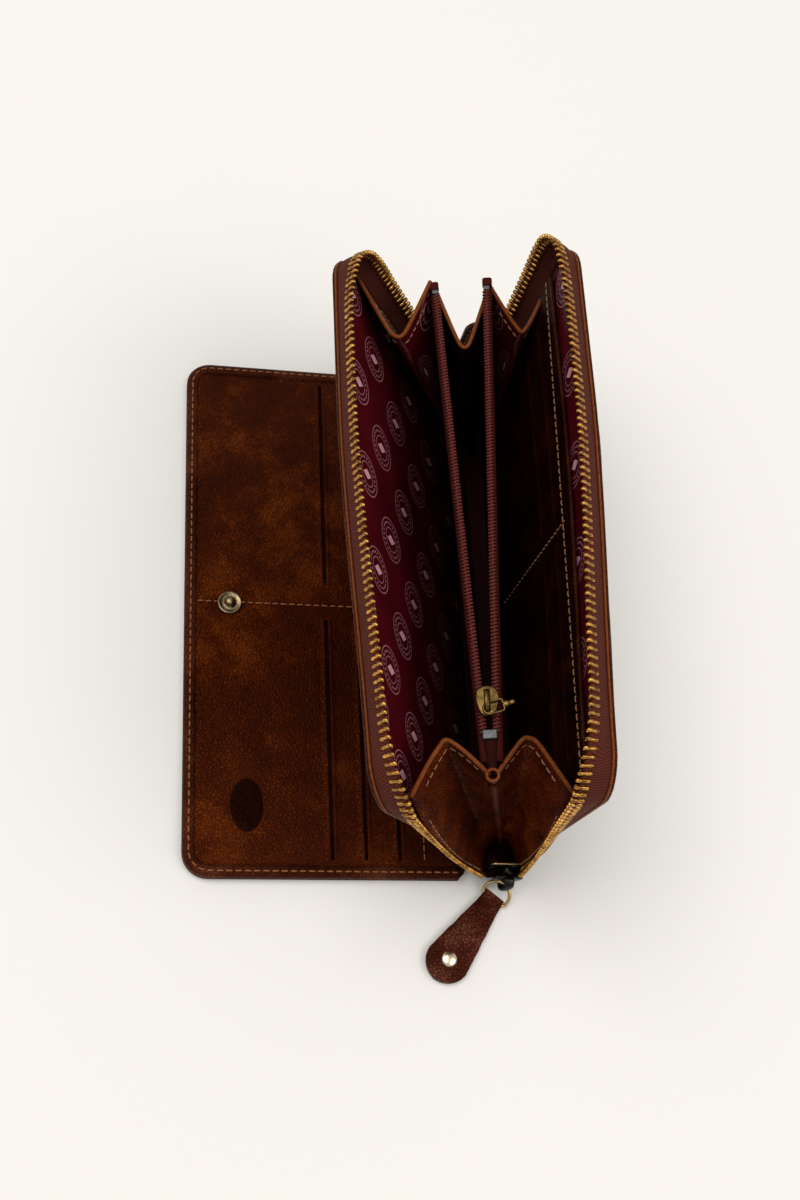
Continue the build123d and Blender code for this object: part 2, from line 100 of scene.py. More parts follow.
COIN_LOOP_Y = -86.3
SLIDER_HEIGHT = 6.0
PULL_TURN = 39.0
RING_DEPTH = 6.5
RING_HALF = 4.7
TAB_SLEEVE = 1.5
TAB_LENGTH = 35.0
TAB_START_HALF = 3.9
TAB_END_RADIUS = 7.7
RIVET_X = 27.0
SIDE_TILT = atan((COVER_HALF_TOP - COVER_HALF_BOTTOM) / (COVER_HEIGHT - COVER_FOOT))
END_TILT = atan((COVER_HALF_TOP - COVER_HALF_BOTTOM) / COVER_HEIGHT)

# Sizes that only the looks need
TOOTH_PITCH = 2.55
FIRST_TOOTH = 0.6
RING_SPACING = 34.0
RING_ROW = 31.2
BADGE = (-88.3, -75.0, 5.6, 9.4)
EDGE_SEAM_SHARE = 0.011

# The closed near end of the zip draws both covers inwards. It starts at TWIST_START and reaches TWIST
# degrees TWIST_LENGTH nearer
TWIST = 3.4
TWIST_START = 40.0
TWIST_LENGTH = 150.0
# Bodies whose pieces are only baked in place, not attached: parent body, body, start, end
LAGGING = {
    "left_cover": ("spine", "left_cover", (0, -0.456, 0), (0, 0.060, 0)),
    "flap": ("left_cover", "flap", (0, -0.796, 0), (0, 0.060, 0)),
}
# How far the zip's tape leans inwards at its foot, at the near corners (with the power of the rise
# towards them, CORNER_AT along the rim) and at the far corners
FOOT_BEND = 22.0
CORNER_BEND = {"left": (70.0, 2.0), "right": (94.0, 1.5)}
FAR_CORNER_BEND = {"left": 88.0, "right": 66.0}
CORNER_AT = 95.0


# ---- places: each turns a piece's own coordinates into the frame's millimetres ----


def turned(x, z, angle):
    """(x, z) turned about Y, so that a positive angle in degrees leans +Z towards +X."""
    c, s = cos(radians(angle)), sin(radians(angle))
    return x * c + z * s, z * c - x * s


def twist(y):
    """Degrees by which the covers lean inwards at y, beyond what they do at their far end."""
    t = min(1.0, max(0.0, (TWIST_START - y) / TWIST_LENGTH))
    return TWIST * t * t * (3 - 2 * t)


def on_left(n, y, u):
    """A point at depth n inward of the left cover's lining, along y and up u."""
    x, z = turned(n, u, twist(y) - LEFT_LEAN)
    return Vector((x - PIVOT_X, y, z + PIVOT_Z))


def on_right(n, y, u):
    x, z = turned(-n, u, RIGHT_LEAN - twist(y))
    return Vector((x + PIVOT_X, y, z + PIVOT_Z))


def on_flap(n, y, u):
    """u runs from the flap's fold to its free edge, n is height."""
    return Vector((FLAP_INNER_X - u, y, n))


def on_coin(x, y, z):
    x, z = turned(x, z, -COIN_LEAN)
    return Vector((x + COIN_X, y, z + COIN_Z))


def opened(side, x, y, z):
    """A point on one half of the coin pocket's mouth, swung open about its near end."""
    a = -side * radians(COIN_OPEN[side])
    dy = y - COIN_HINGE_Y
    return on_coin(x * cos(a) - dy * sin(a), COIN_HINGE_Y + x * sin(a) + dy * cos(a), z)


COVER_PLACES = {"left": on_left, "right": on_right}
COIN_ANCHOR = tuple(on_coin(0, 0, 0) * MM)


# ---- mesh helpers ----


class Solid:
    """Collects points and faces, then becomes one piece. ink is the material of the next faces."""

    def __init__(self):
        self.verts = []
        self.faces = []
        self.uvs = []
        self.inks = []
        self.ink = 0

    def face(self, *corners):
        self.faces.append(corners)
        self.inks.append(self.ink)

    def point(self, p, uv=(0, 0)):
        self.verts.append(p)
        self.uvs.append(uv)
        return len(self.verts) - 1

    def join(self, a, b):
        """A band of faces between two closed rows of points."""
        for j in range(len(a)):
            k = (j + 1) % len(a)
            self.face(a[j], a[k], b[k], b[j])

    def rings(self, rings, uvs=None):
        """Joins rings with the same number of points and closes both ends."""
        rows = []
        for i, ring in enumerate(rings):
            rows.append([self.point(p, uvs[i][j] if uvs else (0, 0)) for j, p in enumerate(ring)])
        for a, b in zip(rows, rows[1:]):
            self.join(a, b)
        self.face(*reversed(rows[0]))
        self.face(*rows[-1])

    def loop(self, rings):
        """Joins rings into one closed hoop."""
        rows = [[self.point(p) for p in ring] for ring in rings]
        for a, b in zip(rows, rows[1:] + rows[:1]):
            self.join(a, b)

    def piece(self, name, material, body, slot, nodes=()):
        """Makes the mesh, in metres. It rides on body, a body in LAGGING only has its place baked in; with
        None the caller sets that.
        """
        mesh = bpy.data.meshes.new(name)
        mesh.from_pydata([tuple(v[k] * MM for k in range(3)) for v in self.verts], [], self.faces)
        layer = mesh.uv_layers.new(name="UVMap")
        for loop in mesh.loops:
            layer.data[loop.index].uv = self.uvs[loop.vertex_index]
        mesh.polygons.foreach_set("use_smooth", [True] * len(mesh.polygons))
        for m in material if isinstance(material, (list, tuple)) else [material]:
            mesh.materials.append(m)
        mesh.polygons.foreach_set("material_index", self.inks)
        turned_out = bmesh.new()
        turned_out.from_mesh(mesh)
        bmesh.ops.recalc_face_normals(turned_out, faces=turned_out.faces)
        turned_out.to_mesh(mesh)
        turned_out.free()
        piece = bpy.data.objects.new(name, mesh)
        bpy.context.collection.objects.link(piece)
        if body in LAGGING:
            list(LAGGING[body])
            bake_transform(piece)
        elif body:
            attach(piece, body)
        if nodes:
            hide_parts(*nodes)
        return piece


def spread(low, high, count):
    return [low + (high - low) * k / count for k in range(count + 1)]


def circle(count, phase=0.0):
    """(cos, sin) of angles spread evenly over a full turn."""
    turn = [2 * pi * (k + phase) / count for k in range(count)]
    return [(cos(a), sin(a)) for a in turn]


def ringed(rings, place=None, **options):
    """A solid of one stack of rings, moved to its place."""
    solid = Solid()
    solid.rings([[place(*p) for p in ring] for ring in rings] if place else rings, **options)
    return solid


def tube_rings(path, radius, sides=8, radii=None, flat=1.0, up=None):
    """Rings round a path of points; radii scales each ring and flat squashes it."""
    rings = []
    for i, p in enumerate(path):
        along = (path[min(i + 1, len(path) - 1)] - path[max(i - 1, 0)]).normalized()
        side = along.cross(up if up is not None else Vector((0, 0, 1)))
        if side.length < 1e-4:
            side = along.cross(Vector((0, 1, 0)))
        side.normalize()
        lift = side.cross(along).normalized()
        r = radius * (radii[i] if radii else 1)
        rings.append([p + side * (r * c) + lift * (r * flat * s) for c, s in circle(sides)])
    return rings


def resample(path, pitch):
    """Points at an even pitch along a polyline, with their directions."""
    out = []
    carry = pitch / 2
    for a, b in zip(path, path[1:]):
        length = (b - a).length
        if length < 1e-9:
            continue
        direction = (b - a) / length
        while carry <= length:
            out.append((a + direction * carry, direction))
            carry += pitch
        carry -= length
    return out


def sew(solid, name, path, normal, pitch=3.0, length=2.25, radius=0.27, wobble=0.06):
    """Adds thread stitches along a path: short arched bars whose ends go down into the leather."""
    rng = random.Random(name)
    for centre, along in resample([Vector(p) for p in path], pitch):
        up = Vector(normal(centre) if callable(normal) else normal).normalized()
        across = along.cross(up).normalized()
        tilt = along + across * rng.uniform(-wobble, wobble)
        spots = []
        for t, rise in ((-0.5, -0.75), (-0.36, 0.25), (0, 0.5), (0.36, 0.25), (0.5, -0.75)):
            spots.append(centre + tilt * (t * length) + up * (rise * radius))
        solid.rings(tube_rings(spots, radius, 6, (0.6, 1, 1.08, 1, 0.6), 0.8, up))


def stitch_row(name, path, normal, body, material, **sizes):
    row = Solid()
    sew(row, name, path, normal, **sizes)
    return row.piece(name, material, body, "outer_leather")


def side_samples(half, foot, top, corner, tilt, levels, arc_steps=8):
    """One side of a sheet's outline: (half width, height, outward normal) from foot to top."""
    centre_u = top - corner
    centre_w = half + (centre_u - foot) * tan(tilt) - corner / cos(tilt)
    start_u = centre_u - corner * sin(tilt)
    normal = (cos(tilt), -sin(tilt))
    samples = [(half + (u - foot) * tan(tilt), u, *normal) for u in levels if u < start_u - 0.2]
    for k in range(arc_steps + 1):
        a = -tilt + (pi / 2 + tilt) * k / arc_steps
        c, s = cos(a), sin(a)
        samples.append((centre_w + corner * c, centre_u + corner * s, c, s))
    return samples


def closed_sheet(side, columns, profile, place, lift=None, back_lift=None, hole=None, slant=0.0):
    """A closed sheet: a front and a back grid joined by the rings of a rounded edge.

    profile lists (depth, margin) from the back face to the front face.
    """
    solid = Solid()
    rows, cols = len(side), len(columns)

    def spot(i, j, depth, margin, rise=None):
        w, u, nw, nu = side[i]
        y = columns[j] * (w - margin * nw)
        u = u - margin * nu
        n = depth + (rise(y, u) if rise else 0)
        return solid.point(place(n, y, u), (y, u - slant * y))

    def grid(depth, margin, rise):
        return [[spot(i, j, depth, margin, rise) for j in range(cols)] for i in range(rows)]

    edge = [(0, j) for j in range(cols)] + [(i, cols - 1) for i in range(1, rows)]
    edge += [(rows - 1, j) for j in range(cols - 2, -1, -1)] + [(i, 0) for i in range(rows - 2, 0, -1)]
    back = grid(*profile[0], back_lift)
    front = grid(*profile[-1], lift)
    holes = set()
    if hole:
        for i in range(rows - 1):
            for j in range(cols - 1):
                middle = (columns[j] + columns[j + 1]) / 2 * side[i][0]
                if hole(middle, (side[i][1] + side[i + 1][1]) / 2):
                    holes.add((i, j))
    for i in range(rows - 1):
        for j in range(cols - 1):
            corners = ((i, j), (i, j + 1), (i + 1, j + 1), (i + 1, j))
            if (i, j) not in holes:
                solid.face(*(front[a][b] for a, b in corners))
                solid.face(*(back[a][b] for a, b in reversed(corners)))
                continue
            around = ((i - 1, j), (i, j + 1), (i + 1, j), (i, j - 1))
            for k, beside in enumerate(around):
                if beside not in holes:
                    (a, b), (c, d) = corners[k], corners[(k + 1) % 4]
                    solid.face(front[a][b], front[c][d], back[c][d], back[a][b])
    loops = [[back[i][j] for i, j in edge]]
    loops += [[spot(i, j, *layer) for i, j in edge] for layer in profile[1:-1]]
    loops.append([front[i][j] for i, j in edge])
    for a, b in zip(loops, loops[1:]):
        solid.join(a, b)
    return solid


def soft_noise(x, y, scale, seed):
    """Smooth noise in -1..1, the same on every run."""
    return noise.noise(Vector((x * scale, y * scale, seed)))


# ---- materials ----


GLOSS_TINT = (1.0, 0.2, 0.03, 1)
CLOTH_TINT = (1.0, 0.3, 0.26, 1)


class Graph:
    """A short way to write a node material."""

    def __init__(self, name):
        self.material = bpy.data.materials.new(name)
        self.material.use_nodes = True
        self.tree = self.material.node_tree
        self.tree.nodes.clear()
        self.output = self.tree.nodes.new("ShaderNodeOutputMaterial")
        self.shader = self.tree.nodes.new("ShaderNodeBsdfPrincipled")
        self.tree.links.new(self.shader.outputs[0], self.output.inputs["Surface"])
        texture = self.tree.nodes.new("ShaderNodeTexCoord")
        self.place = self.vector("SCALE", texture.outputs["Object"], scale=1000)
        self.uv = texture.outputs["UV"]

    def set(self, socket, value):
        if isinstance(value, bpy.types.NodeSocket):
            self.tree.links.new(value, socket)
        elif value is not None:
            socket.default_value = value

    def node(self, kind, settings=None, **inputs):
        n = self.tree.nodes.new(kind)
        for key, value in (settings or {}).items():
            setattr(n, key, value)
        for key, value in inputs.items():
            self.set(n.inputs[key.replace("_", " ")], value)
        return n

    def math(self, operation, a, b=None, c=None, clamp=False):
        n = self.tree.nodes.new("ShaderNodeMath")
        n.operation = operation
        n.use_clamp = clamp
        for socket, value in zip(n.inputs, (a, b, c)):
            self.set(socket, value)
        return n.outputs[0]

    def add(self, a, b, clamp=False):
        return self.math("ADD", a, b, clamp=clamp)

    def sub(self, a, b, clamp=False):
        return self.math("SUBTRACT", a, b, clamp=clamp)

    def mul(self, a, b, clamp=False):
        return self.math("MULTIPLY", a, b, clamp=clamp)

    def split(self, vector):
        return self.node("ShaderNodeSeparateXYZ", None, Vector=vector).outputs

    def vector(self, operation, a, b=None, scale=None):
        n = self.tree.nodes.new("ShaderNodeVectorMath")
        n.operation = operation
        self.set(n.inputs[0], a)
        self.set(n.inputs[1], b)
        if scale is not None:
            n.inputs["Scale"].default_value = scale
        return n.outputs[0]

    def noise(self, scale, detail=4.0, rough=0.55, distort=0.0, stretch=None, kind="FBM"):
        place = self.vector("MULTIPLY", self.place, stretch) if stretch else self.place
        n = self.node("ShaderNodeTexNoise", {"noise_type": kind}, Vector=place, Scale=scale, Detail=detail)
        n.inputs["Roughness"].default_value = rough
        n.inputs["Distortion"].default_value = distort
        return n.outputs[0]

    def cells(self, scale):
        settings = {"feature": "DISTANCE_TO_EDGE"}
        return self.node("ShaderNodeTexVoronoi", settings, Vector=self.place, Scale=scale).outputs[0]

    def ramp(self, value, stops):
        n = self.tree.nodes.new("ShaderNodeValToRGB")
        self.set(n.inputs[0], value)
        ramp = n.color_ramp
        while len(ramp.elements) < len(stops):
            ramp.elements.new(0.5)
        for element, (at, colour) in zip(ramp.elements, stops):
            element.position = at
            element.color = (*colour, 1) if isinstance(colour, tuple) else (colour, colour, colour, 1)
        return n.outputs[0]

    def mix(self, share, a, b):
        n = self.tree.nodes.new("ShaderNodeMix")
        n.data_type = "RGBA"
        self.set(n.inputs[0], share)
        for socket, value in ((n.inputs[6], a), (n.inputs[7], b)):
            self.set(socket, (*value, 1) if isinstance(value, tuple) else value)
        return n.outputs[2]

    def bump(self, height, depth_mm, strength=1.0, under=None):
        n = self.node("ShaderNodeBump", None, Height=height, Strength=strength, Distance=depth_mm * MM)
        if under is not None:
            self.set(n.inputs["Normal"], under)
        return n.outputs[0]

    def finish(self, colour, rough, normal=None, **values):
        self.set(self.shader.inputs["Base Color"], (*colour, 1) if isinstance(colour, tuple) else colour)
        self.set(self.shader.inputs["Roughness"], rough)
        if normal is not None:
            self.set(self.shader.inputs["Normal"], normal)
        for key, value in values.items():
            self.shader.inputs[key.replace("_", " ")].default_value = value
        return self.material


def toned(colour, share):
    """The colour made darker, or lighter for a share above 1."""
    return tuple(min(1, c * share) for c in colour)


def leather(name, dark, middle, light, rough=0.42, grain=0.09, near=None, gloss_level=0.3):
    """Waxed pull-up leather: blotches where the wax moved, a fine pebbled grain and soft creases."""
    g = Graph(name)
    blotch = g.noise(0.026, 5.0, 0.6, 0.6)
    cloud = g.noise(0.11, 7.0, 0.62, 0.3)
    speck = g.noise(1.5, 3.0, 0.6)
    share = g.add(g.mul(blotch, 0.72), g.mul(cloud, 0.55))
    share = g.add(share, g.mul(speck, 0.5))
    share = g.sub(share, 0.385)
    colour = g.ramp(share, [(0.36, dark), (0.52, middle), (0.68, light)])
    if near:  # the colour towards the near end
        along = g.split(g.place)[1]
        fall = g.math("MULTIPLY_ADD", along, -1 / 110.0, -0.2, clamp=True)
        colour = g.mix(fall, colour, g.mix(0.6, near, colour))
    crease = g.noise(0.16, 5.0, 0.6, 0.9, kind="RIDGED_MULTIFRACTAL")
    crease = g.mul(g.sub(crease, 0.62, clamp=True), 1.6, clamp=True)
    pebble = g.ramp(g.cells(0.85), [(0.0, 0.0), (0.16, 0.8), (0.5, 1.0)])
    fine = g.cells(2.3)
    # painted shade: the creases are darkened towards the dark colour
    colour = g.mix(g.mul(crease, 0.35), colour, dark)
    # painted shade: the valleys between the pebbles of the grain are darkened
    valley = g.mul(g.sub(1.0, pebble), 0.65)
    colour = g.mix(valley, colour, toned(dark, 0.55))
    normal = g.bump(g.noise(0.35, 3.0), 0.5, 0.6)
    normal = g.bump(crease, 0.4, 0.6, normal)
    normal = g.bump(pebble, grain * 2.2, 0.9, normal)
    normal = g.bump(fine, 0.08, 0.7, normal)
    gloss = g.add(g.mul(cloud, 0.25), rough - 0.12)
    gloss = g.add(gloss, g.mul(valley, 0.3))
    return g.finish(colour, gloss, normal, Specular_IOR_Level=gloss_level, Specular_Tint=GLOSS_TINT)


def raw_edge(name, colour):
    """The cut edge of the leather, lighter, with fibres showing."""
    g = Graph(name)
    fibre = g.noise(1.1, 6.0, 0.7)
    dark = toned(colour, 0.45)
    light = toned(colour, 1.35)
    shade = g.ramp(fibre, [(0.3, dark), (0.5, colour), (0.72, light)])
    return g.finish(shade, 0.6, g.bump(fibre, 0.12, 0.8), Specular_IOR_Level=0.2, Specular_Tint=GLOSS_TINT)


def thread(name, colour):
    g = Graph(name)
    strands = g.noise(2.2, 3.0, 0.7)
    dark = toned(colour, 0.5)
    light = toned(colour, 1.4)
    shade = g.ramp(strands, [(0.3, dark), (0.7, light)])
    return g.finish(shade, 0.6, g.bump(strands, 0.08), Specular_IOR_Level=0.2, Specular_Tint=GLOSS_TINT)


def satin(name, ground, ink=None):
    """A close woven satin, with an optional print of plain rings and dots, and painted shade darkening it low
    down.
    """
    g = Graph(name)
    along, up = g.split(g.uv)[:2]
    threads = g.math("SINE", g.mul(up, 2 * pi / 0.42))
    wefts = g.math("SINE", g.mul(along, 2 * pi / 0.5))
    weave = g.mul(threads, wefts)
    cloud = g.noise(0.05, 4.0)
    deep = toned(ground, 0.55)
    colour = g.ramp(cloud, [(0.3, deep), (0.7, ground)])
    colour = g.mix(g.math("MULTIPLY_ADD", weave, 0.12, 0.12), colour, deep)
    if ink:
        colour = g.mix(ring_print(g, along, up), colour, ink)
        # painted shade: the print and ground darken towards the bottom, standing in for the shade deep inside
        # the wallet
        low = g.math("MULTIPLY_ADD", up, -1 / 70.0, 1.15, clamp=True)
        colour = g.mix(g.mul(low, 0.85), colour, toned(ground, 0.08))
    normal = g.bump(g.noise(0.09, 3.0, 0.5, 0.3), 0.6, 0.5)
    normal = g.bump(weave, 0.03, 0.6, normal)
    return g.finish(colour, 0.45, normal, Specular_IOR_Level=0.12, Specular_Tint=CLOTH_TINT)


def ring_print(g, along, up):
    """How much ink there is: two lattices of round marks, half a step apart."""
    total = None
    for step in (0.0, 0.5):
        cells_x = g.math("DIVIDE", g.sub(along, 1.5), RING_SPACING)
        cells_y = g.math("DIVIDE", g.sub(up, 4.0), RING_ROW)
        cell_x = g.math("FRACT", g.add(cells_x, 20 + step))
        cell_y = g.math("FRACT", g.add(cells_y, 20 + step))
        x = g.mul(g.sub(cell_x, 0.5), RING_SPACING)
        y = g.mul(g.sub(cell_y, 0.5), RING_ROW)
        radius = g.math("SQRT", g.add(g.mul(x, x), g.mul(y, y)))
        marks = []
        for at, half in ((7.6, 0.2), (4.3, 0.17)):
            ring = g.math("LESS_THAN", g.math("ABSOLUTE", g.sub(radius, at)), half)
            marks.append(g.mul(ring, 0.7))
        angle = g.mul(g.math("ARCTAN2", y, x), 22 / (2 * pi))
        apart = g.mul(g.sub(g.math("FRACT", g.add(angle, 30)), 0.5), 1.7)
        away = g.sub(radius, 6.0)
        dot = g.add(g.mul(apart, apart), g.mul(away, away))
        marks.append(g.mul(g.math("LESS_THAN", dot, 0.2), 0.75))
        leaf = g.add(g.math("ABSOLUTE", g.mul(x, 1.7)), g.math("ABSOLUTE", y))
        marks.append(g.mul(g.math("LESS_THAN", leaf, 3.2), 1.6))
        for mark in marks:
            total = mark if total is None else g.add(total, mark)
    return g.mul(total, 0.55, clamp=True)


def woven_tape(name, colour):
    """Zip tape with a herringbone weave; u runs along the tape, v across it."""
    g = Graph(name)
    along, across = g.split(g.uv)[:2]
    zigzag = g.math("PINGPONG", across, 1.5)
    slant = g.add(along, zigzag)
    rib = g.math("SINE", g.mul(slant, 2 * pi / 0.95))
    rib = g.math("MULTIPLY_ADD", rib, 0.5, 0.5)
    fuzz = g.noise(1.8, 4.0, 0.7)
    deep = toned(colour, 0.4)
    shade = g.mix(rib, deep, colour)
    shade = g.mix(g.mul(fuzz, 0.3), shade, toned(colour, 1.3))
    normal = g.bump(rib, 0.16, 0.9)
    normal = g.bump(fuzz, 0.05, 0.6, normal)
    return g.finish(shade, 0.75, normal, Specular_IOR_Level=0.12, Specular_Tint=CLOTH_TINT)


def metal(name, bright, dull, rough, share=0.5, scale=0.5, metallic=1.0):
    """Polished on the high spots and darker with age between them."""
    g = Graph(name)
    age = g.noise(scale, 5.0, 0.65, 0.4)
    scratch = g.noise(2.5, 3.0, 0.6, stretch=(0.3, 2.0, 2.0))
    colour = g.ramp(age, [(share - 0.16, dull), (share + 0.12, bright)])
    gloss = g.math("MULTIPLY_ADD", scratch, 0.2, rough - 0.08)
    return g.finish(colour, gloss, g.bump(g.add(age, scratch), 0.04, 0.5), Metallic=metallic)


def fibre_board(name):
    g = Graph(name)
    fibre = g.noise(0.8, 6.0, 0.7)
    colour = g.ramp(fibre, [(0.3, (0.3, 0.24, 0.18)), (0.7, (0.52, 0.44, 0.34))])
    return g.finish(colour, 0.85, g.bump(fibre, 0.1))


COVER = leather("cover_leather", (0.012, 0.0022, 0.0012), (0.046, 0.0105, 0.0055), (0.100, 0.030, 0.013),
                0.44)
FLAP_FACE = leather("flap_leather", (0.012, 0.0010, 0.0002), (0.036, 0.0036, 0.0004), (0.125, 0.024, 0.002),
                    0.36, near=(0.085, 0.0200, 0.0105))
BINDING = leather("binding_leather", (0.014, 0.003, 0.0016), (0.048, 0.011, 0.006), (0.105, 0.032, 0.014),
                  0.4)
GUSSET = leather("gusset_leather", (0.026, 0.0026, 0.0003), (0.105, 0.0130, 0.0008), (0.235, 0.046, 0.004),
                 0.34, gloss_level=0.1)
TAB = leather("tab_leather", (0.018, 0.0035, 0.0024), (0.072, 0.0165, 0.0105), (0.21, 0.078, 0.045),
              0.42, grain=0.16)
# painted shade: a much darker copy of the leather for the card panel inside the right cover
INNER_PANEL = leather("inner_panel_leather", (0.005, 0.0007, 0.0003), (0.017, 0.0026, 0.0007),
                      (0.040, 0.008, 0.002), gloss_level=0.06)
EDGE = raw_edge("raw_edge", (0.185, 0.050, 0.013))
THREAD = thread("tan_thread", (0.30, 0.115, 0.045))
PALE_THREAD = thread("pale_thread", (0.34, 0.165, 0.085))
PRINT = satin("printed_lining", (0.098, 0.0042, 0.0090), (0.86, 0.42, 0.45))
# painted shade: the plain satin is made near black for the cloth deep inside the wallet
PLAIN = satin("plain_lining", (0.014, 0.0012, 0.0022))
DARK_CLOTH = satin("dark_cloth", (0.007, 0.0016, 0.0014))
TAPE = woven_tape("zip_tape", (0.105, 0.025, 0.016))
COIN_TAPE = woven_tape("coin_tape", (0.062, 0.0105, 0.0085))
TAIL_CLOTH = woven_tape("coin_tape_tail", (0.030, 0.0060, 0.0048))
COIL = thread("coil_plastic", (0.13, 0.030, 0.026))
TEETH = metal("teeth_brass", (0.72, 0.37, 0.078), (0.15, 0.055, 0.011), 0.28, 0.5, 0.35)
SLIDER_BRASS = metal("slider_brass", (0.20, 0.125, 0.036), (0.035, 0.021, 0.007), 0.34, 0.5, 0.3)
RING_BRASS = metal("ring_brass", (0.62, 0.45, 0.20), (0.26, 0.17, 0.07), 0.24, 0.4, 0.2)
SNAP_BRASS = metal("snap_brass", (0.30, 0.22, 0.12), (0.07, 0.05, 0.03), 0.3, 0.5, 0.4)
RIVET_BRASS = metal("rivet_brass", (0.92, 0.78, 0.56), (0.6, 0.42, 0.24), 0.22, 0.35, 0.3)
DARK_METAL = metal("dark_slider", (0.028, 0.023, 0.02), (0.008, 0.0065, 0.006), 0.3, 0.5, 0.3, 0.9)
STEEL = metal("bright_steel", (0.13, 0.13, 0.132), (0.06, 0.06, 0.062), 0.5, 0.4, 0.5)
BOARD = fibre_board("fibre_board")
BADGE_LEATHER = leather("badge_leather", (0.002, 0.0006, 0.0004), (0.005, 0.0016, 0.001),
                        (0.012, 0.0045, 0.003), 0.5, gloss_level=0.15)


# ---- covers, linings and the main zip ----


def cover_side(levels, arc_steps=8):
    return side_samples(
        COVER_HALF_BOTTOM, COVER_FOOT, COVER_HEIGHT, COVER_CORNER, SIDE_TILT, levels, arc_steps)


def rim_of(side, top_steps=60):
    """The outline from the near foot over the top to the far foot: (y, u, normal y, normal u)."""
    near = [(-w, u, -nw, nu) for w, u, nw, nu in side]
    w, u = side[-1][:2]
    top = [(-w + 2 * w * k / top_steps, u, 0.0, 1.0) for k in range(1, top_steps)]
    far = [(w, u, nw, nu) for w, u, nw, nu in reversed(side)]
    return near + top + far


def rim_path(rim, n, margin, place):
    return [place(n, y - margin * ny, u - margin * nu) for y, u, ny, nu in rim]


def rail(solid, rim, section, place):
    """Runs a closed section of (depth, margin) points along a rim.

    section is a list, or a function of the length from the near foot that gives one.
    """
    length = 0.0
    rings, uvs = [], []
    for i, (y, u, ny, nu) in enumerate(rim):
        if i:
            length += hypot(y - rim[i - 1][0], u - rim[i - 1][1])
        points = section(length) if callable(section) else section
        rings.append([place(n, y - m * ny, u - m * nu) for n, m in points])
        uvs.append([(length, -m) for n, m in points])
    solid.rings(rings, uvs=uvs)


EDGE_RIM = rim_of(cover_side(spread(COVER_FOOT, 86, 40)), 90)
RIM_LENGTH = sum(hypot(b[0] - a[0], b[1] - a[1]) for a, b in zip(EDGE_RIM, EDGE_RIM[1:]))


def tape_bend(side, length):
    """How far the zip leans inwards, in radians, at a length along the rim from the near foot."""
    peak, power = CORNER_BEND[side]
    if length < CORNER_AT:
        return radians(FOOT_BEND + (peak - FOOT_BEND) * (length / CORNER_AT) ** power)
    near = (peak - TAPE_BEND) * exp(-(((length - CORNER_AT) / 13) ** 2))
    far = (FAR_CORNER_BEND[side] - TAPE_BEND) * exp(-(((RIM_LENGTH - CORNER_AT - length) / 16) ** 2))
    return radians(TAPE_BEND + near + far)


def make_cover(side):
    place = COVER_PLACES[side]
    body = f"{side}_cover"
    seed = 3.7 if side == "left" else 9.2
    columns = spread(-1, 1, 80)
    outline = cover_side(spread(COVER_FOOT, 84, 34))

    def outer_swell(y, u):
        return -0.35 - 0.3 * soft_noise(y, u, 0.03, seed) - 0.12 * soft_noise(y, u, 0.11, seed)

    profile = [(-1.98, 1.5), (-2.05, 0.75), (-1.9, 0.25), (-1.5, 0.0)]
    profile += [(-1.05, 0.0), (-0.75, 0.2), (-0.6, 0.7)]
    shell = closed_sheet(outline, columns, profile, place, back_lift=outer_swell)
    shell.piece(f"{side}_cover_shell", COVER, body, "outer_leather", [f"{side}_cover_leather"])

    def cloth_swell(y, u):
        return 0.12 + 0.16 * soft_noise(y, u, 0.045, seed + 5)

    profile = [(0.02, 2.6), (0.35, 2.4), (0.4, 2.5)]
    lining = closed_sheet(outline, columns, profile, place, lift=cloth_swell, slant=0.09)
    lining.piece(f"{side}_satin_lining", PRINT, body, "printed_lining", [f"{side}_cover_lining"])

    edge = Solid()
    rail(edge, EDGE_RIM, [(-0.95, 0.9), (-0.95, -0.12), (-0.62, -0.3), (-0.3, -0.12), (-0.3, 0.9)], place)
    edge.piece(f"{side}_cover_cut_edge", EDGE, body, "outer_leather")
    board = closed_sheet(outline, columns, [(-0.55, 2.6), (-0.02, 2.6)], place)
    board.piece(f"{side}_stiff_board", BOARD, body, "stiffener_board", [f"{side}_cover_board"])
    make_tape(side, place)
    make_teeth(side, place, FIRST_TOOTH if side == "left" else FIRST_TOOTH + TOOTH_PITCH / 2)
    seam = rim_path(EDGE_RIM, -2.42, 3.2, place)
    outward = place(-1, 0, 0) - place(0, 0, 0)
    stitch_row(f"{side}_cover_stitching", seam[2:-2], outward, body, THREAD)


def make_tape(side, place):
    """The half tape, a cloth skirt that leans in from the cover's edge to the teeth."""
    steps = 8

    def cloth(length):
        lean = tape_bend(side, length)
        outer, inner = [], []
        for k in range(steps + 1):
            t = k / steps
            belly = 0.55 * sin(pi * t)
            reach = t * (CHAIN_REACH + 0.85)
            n = reach * sin(lean) - belly * cos(lean) - 0.28 * (1 - t)
            margin = 0.25 * (1 - t) - reach * cos(lean) - belly * sin(lean)
            outer.append((n, margin))
            inner.append((n + 0.5 * cos(lean), margin + 0.5 * sin(lean)))
        return outer + inner[::-1]

    def cord(length):
        lean = tape_bend(side, length)
        n, margin = CHAIN_REACH * sin(lean), -CHAIN_REACH * cos(lean)
        return [(n + 0.62 * c, margin + 0.62 * s) for c, s in circle(8)]

    for name, section, nodes in (("weave", cloth, [f"{side}_zip_tape"]), ("cord", cord, [])):
        tape = Solid()
        rail(tape, EDGE_RIM, section, place)
        tape.piece(f"{side}_tape_{name}", TAPE, f"{side}_cover", "zip_tape_cloth", nodes)


TOOTH_SHAPE = (
    (-2.3, 0.26, 0.5),
    (-2.05, 0.5, 0.9),
    (-1.2, 0.58, 1.02),
    (-0.4, 0.54, 0.95),
    (0.05, 0.46, 0.72),
    (0.5, 0.46, 0.7),
    (0.95, 0.56, 0.84),
    (1.6, 0.6, 0.88),
    (2.1, 0.5, 0.68),
    (2.35, 0.24, 0.32),
)


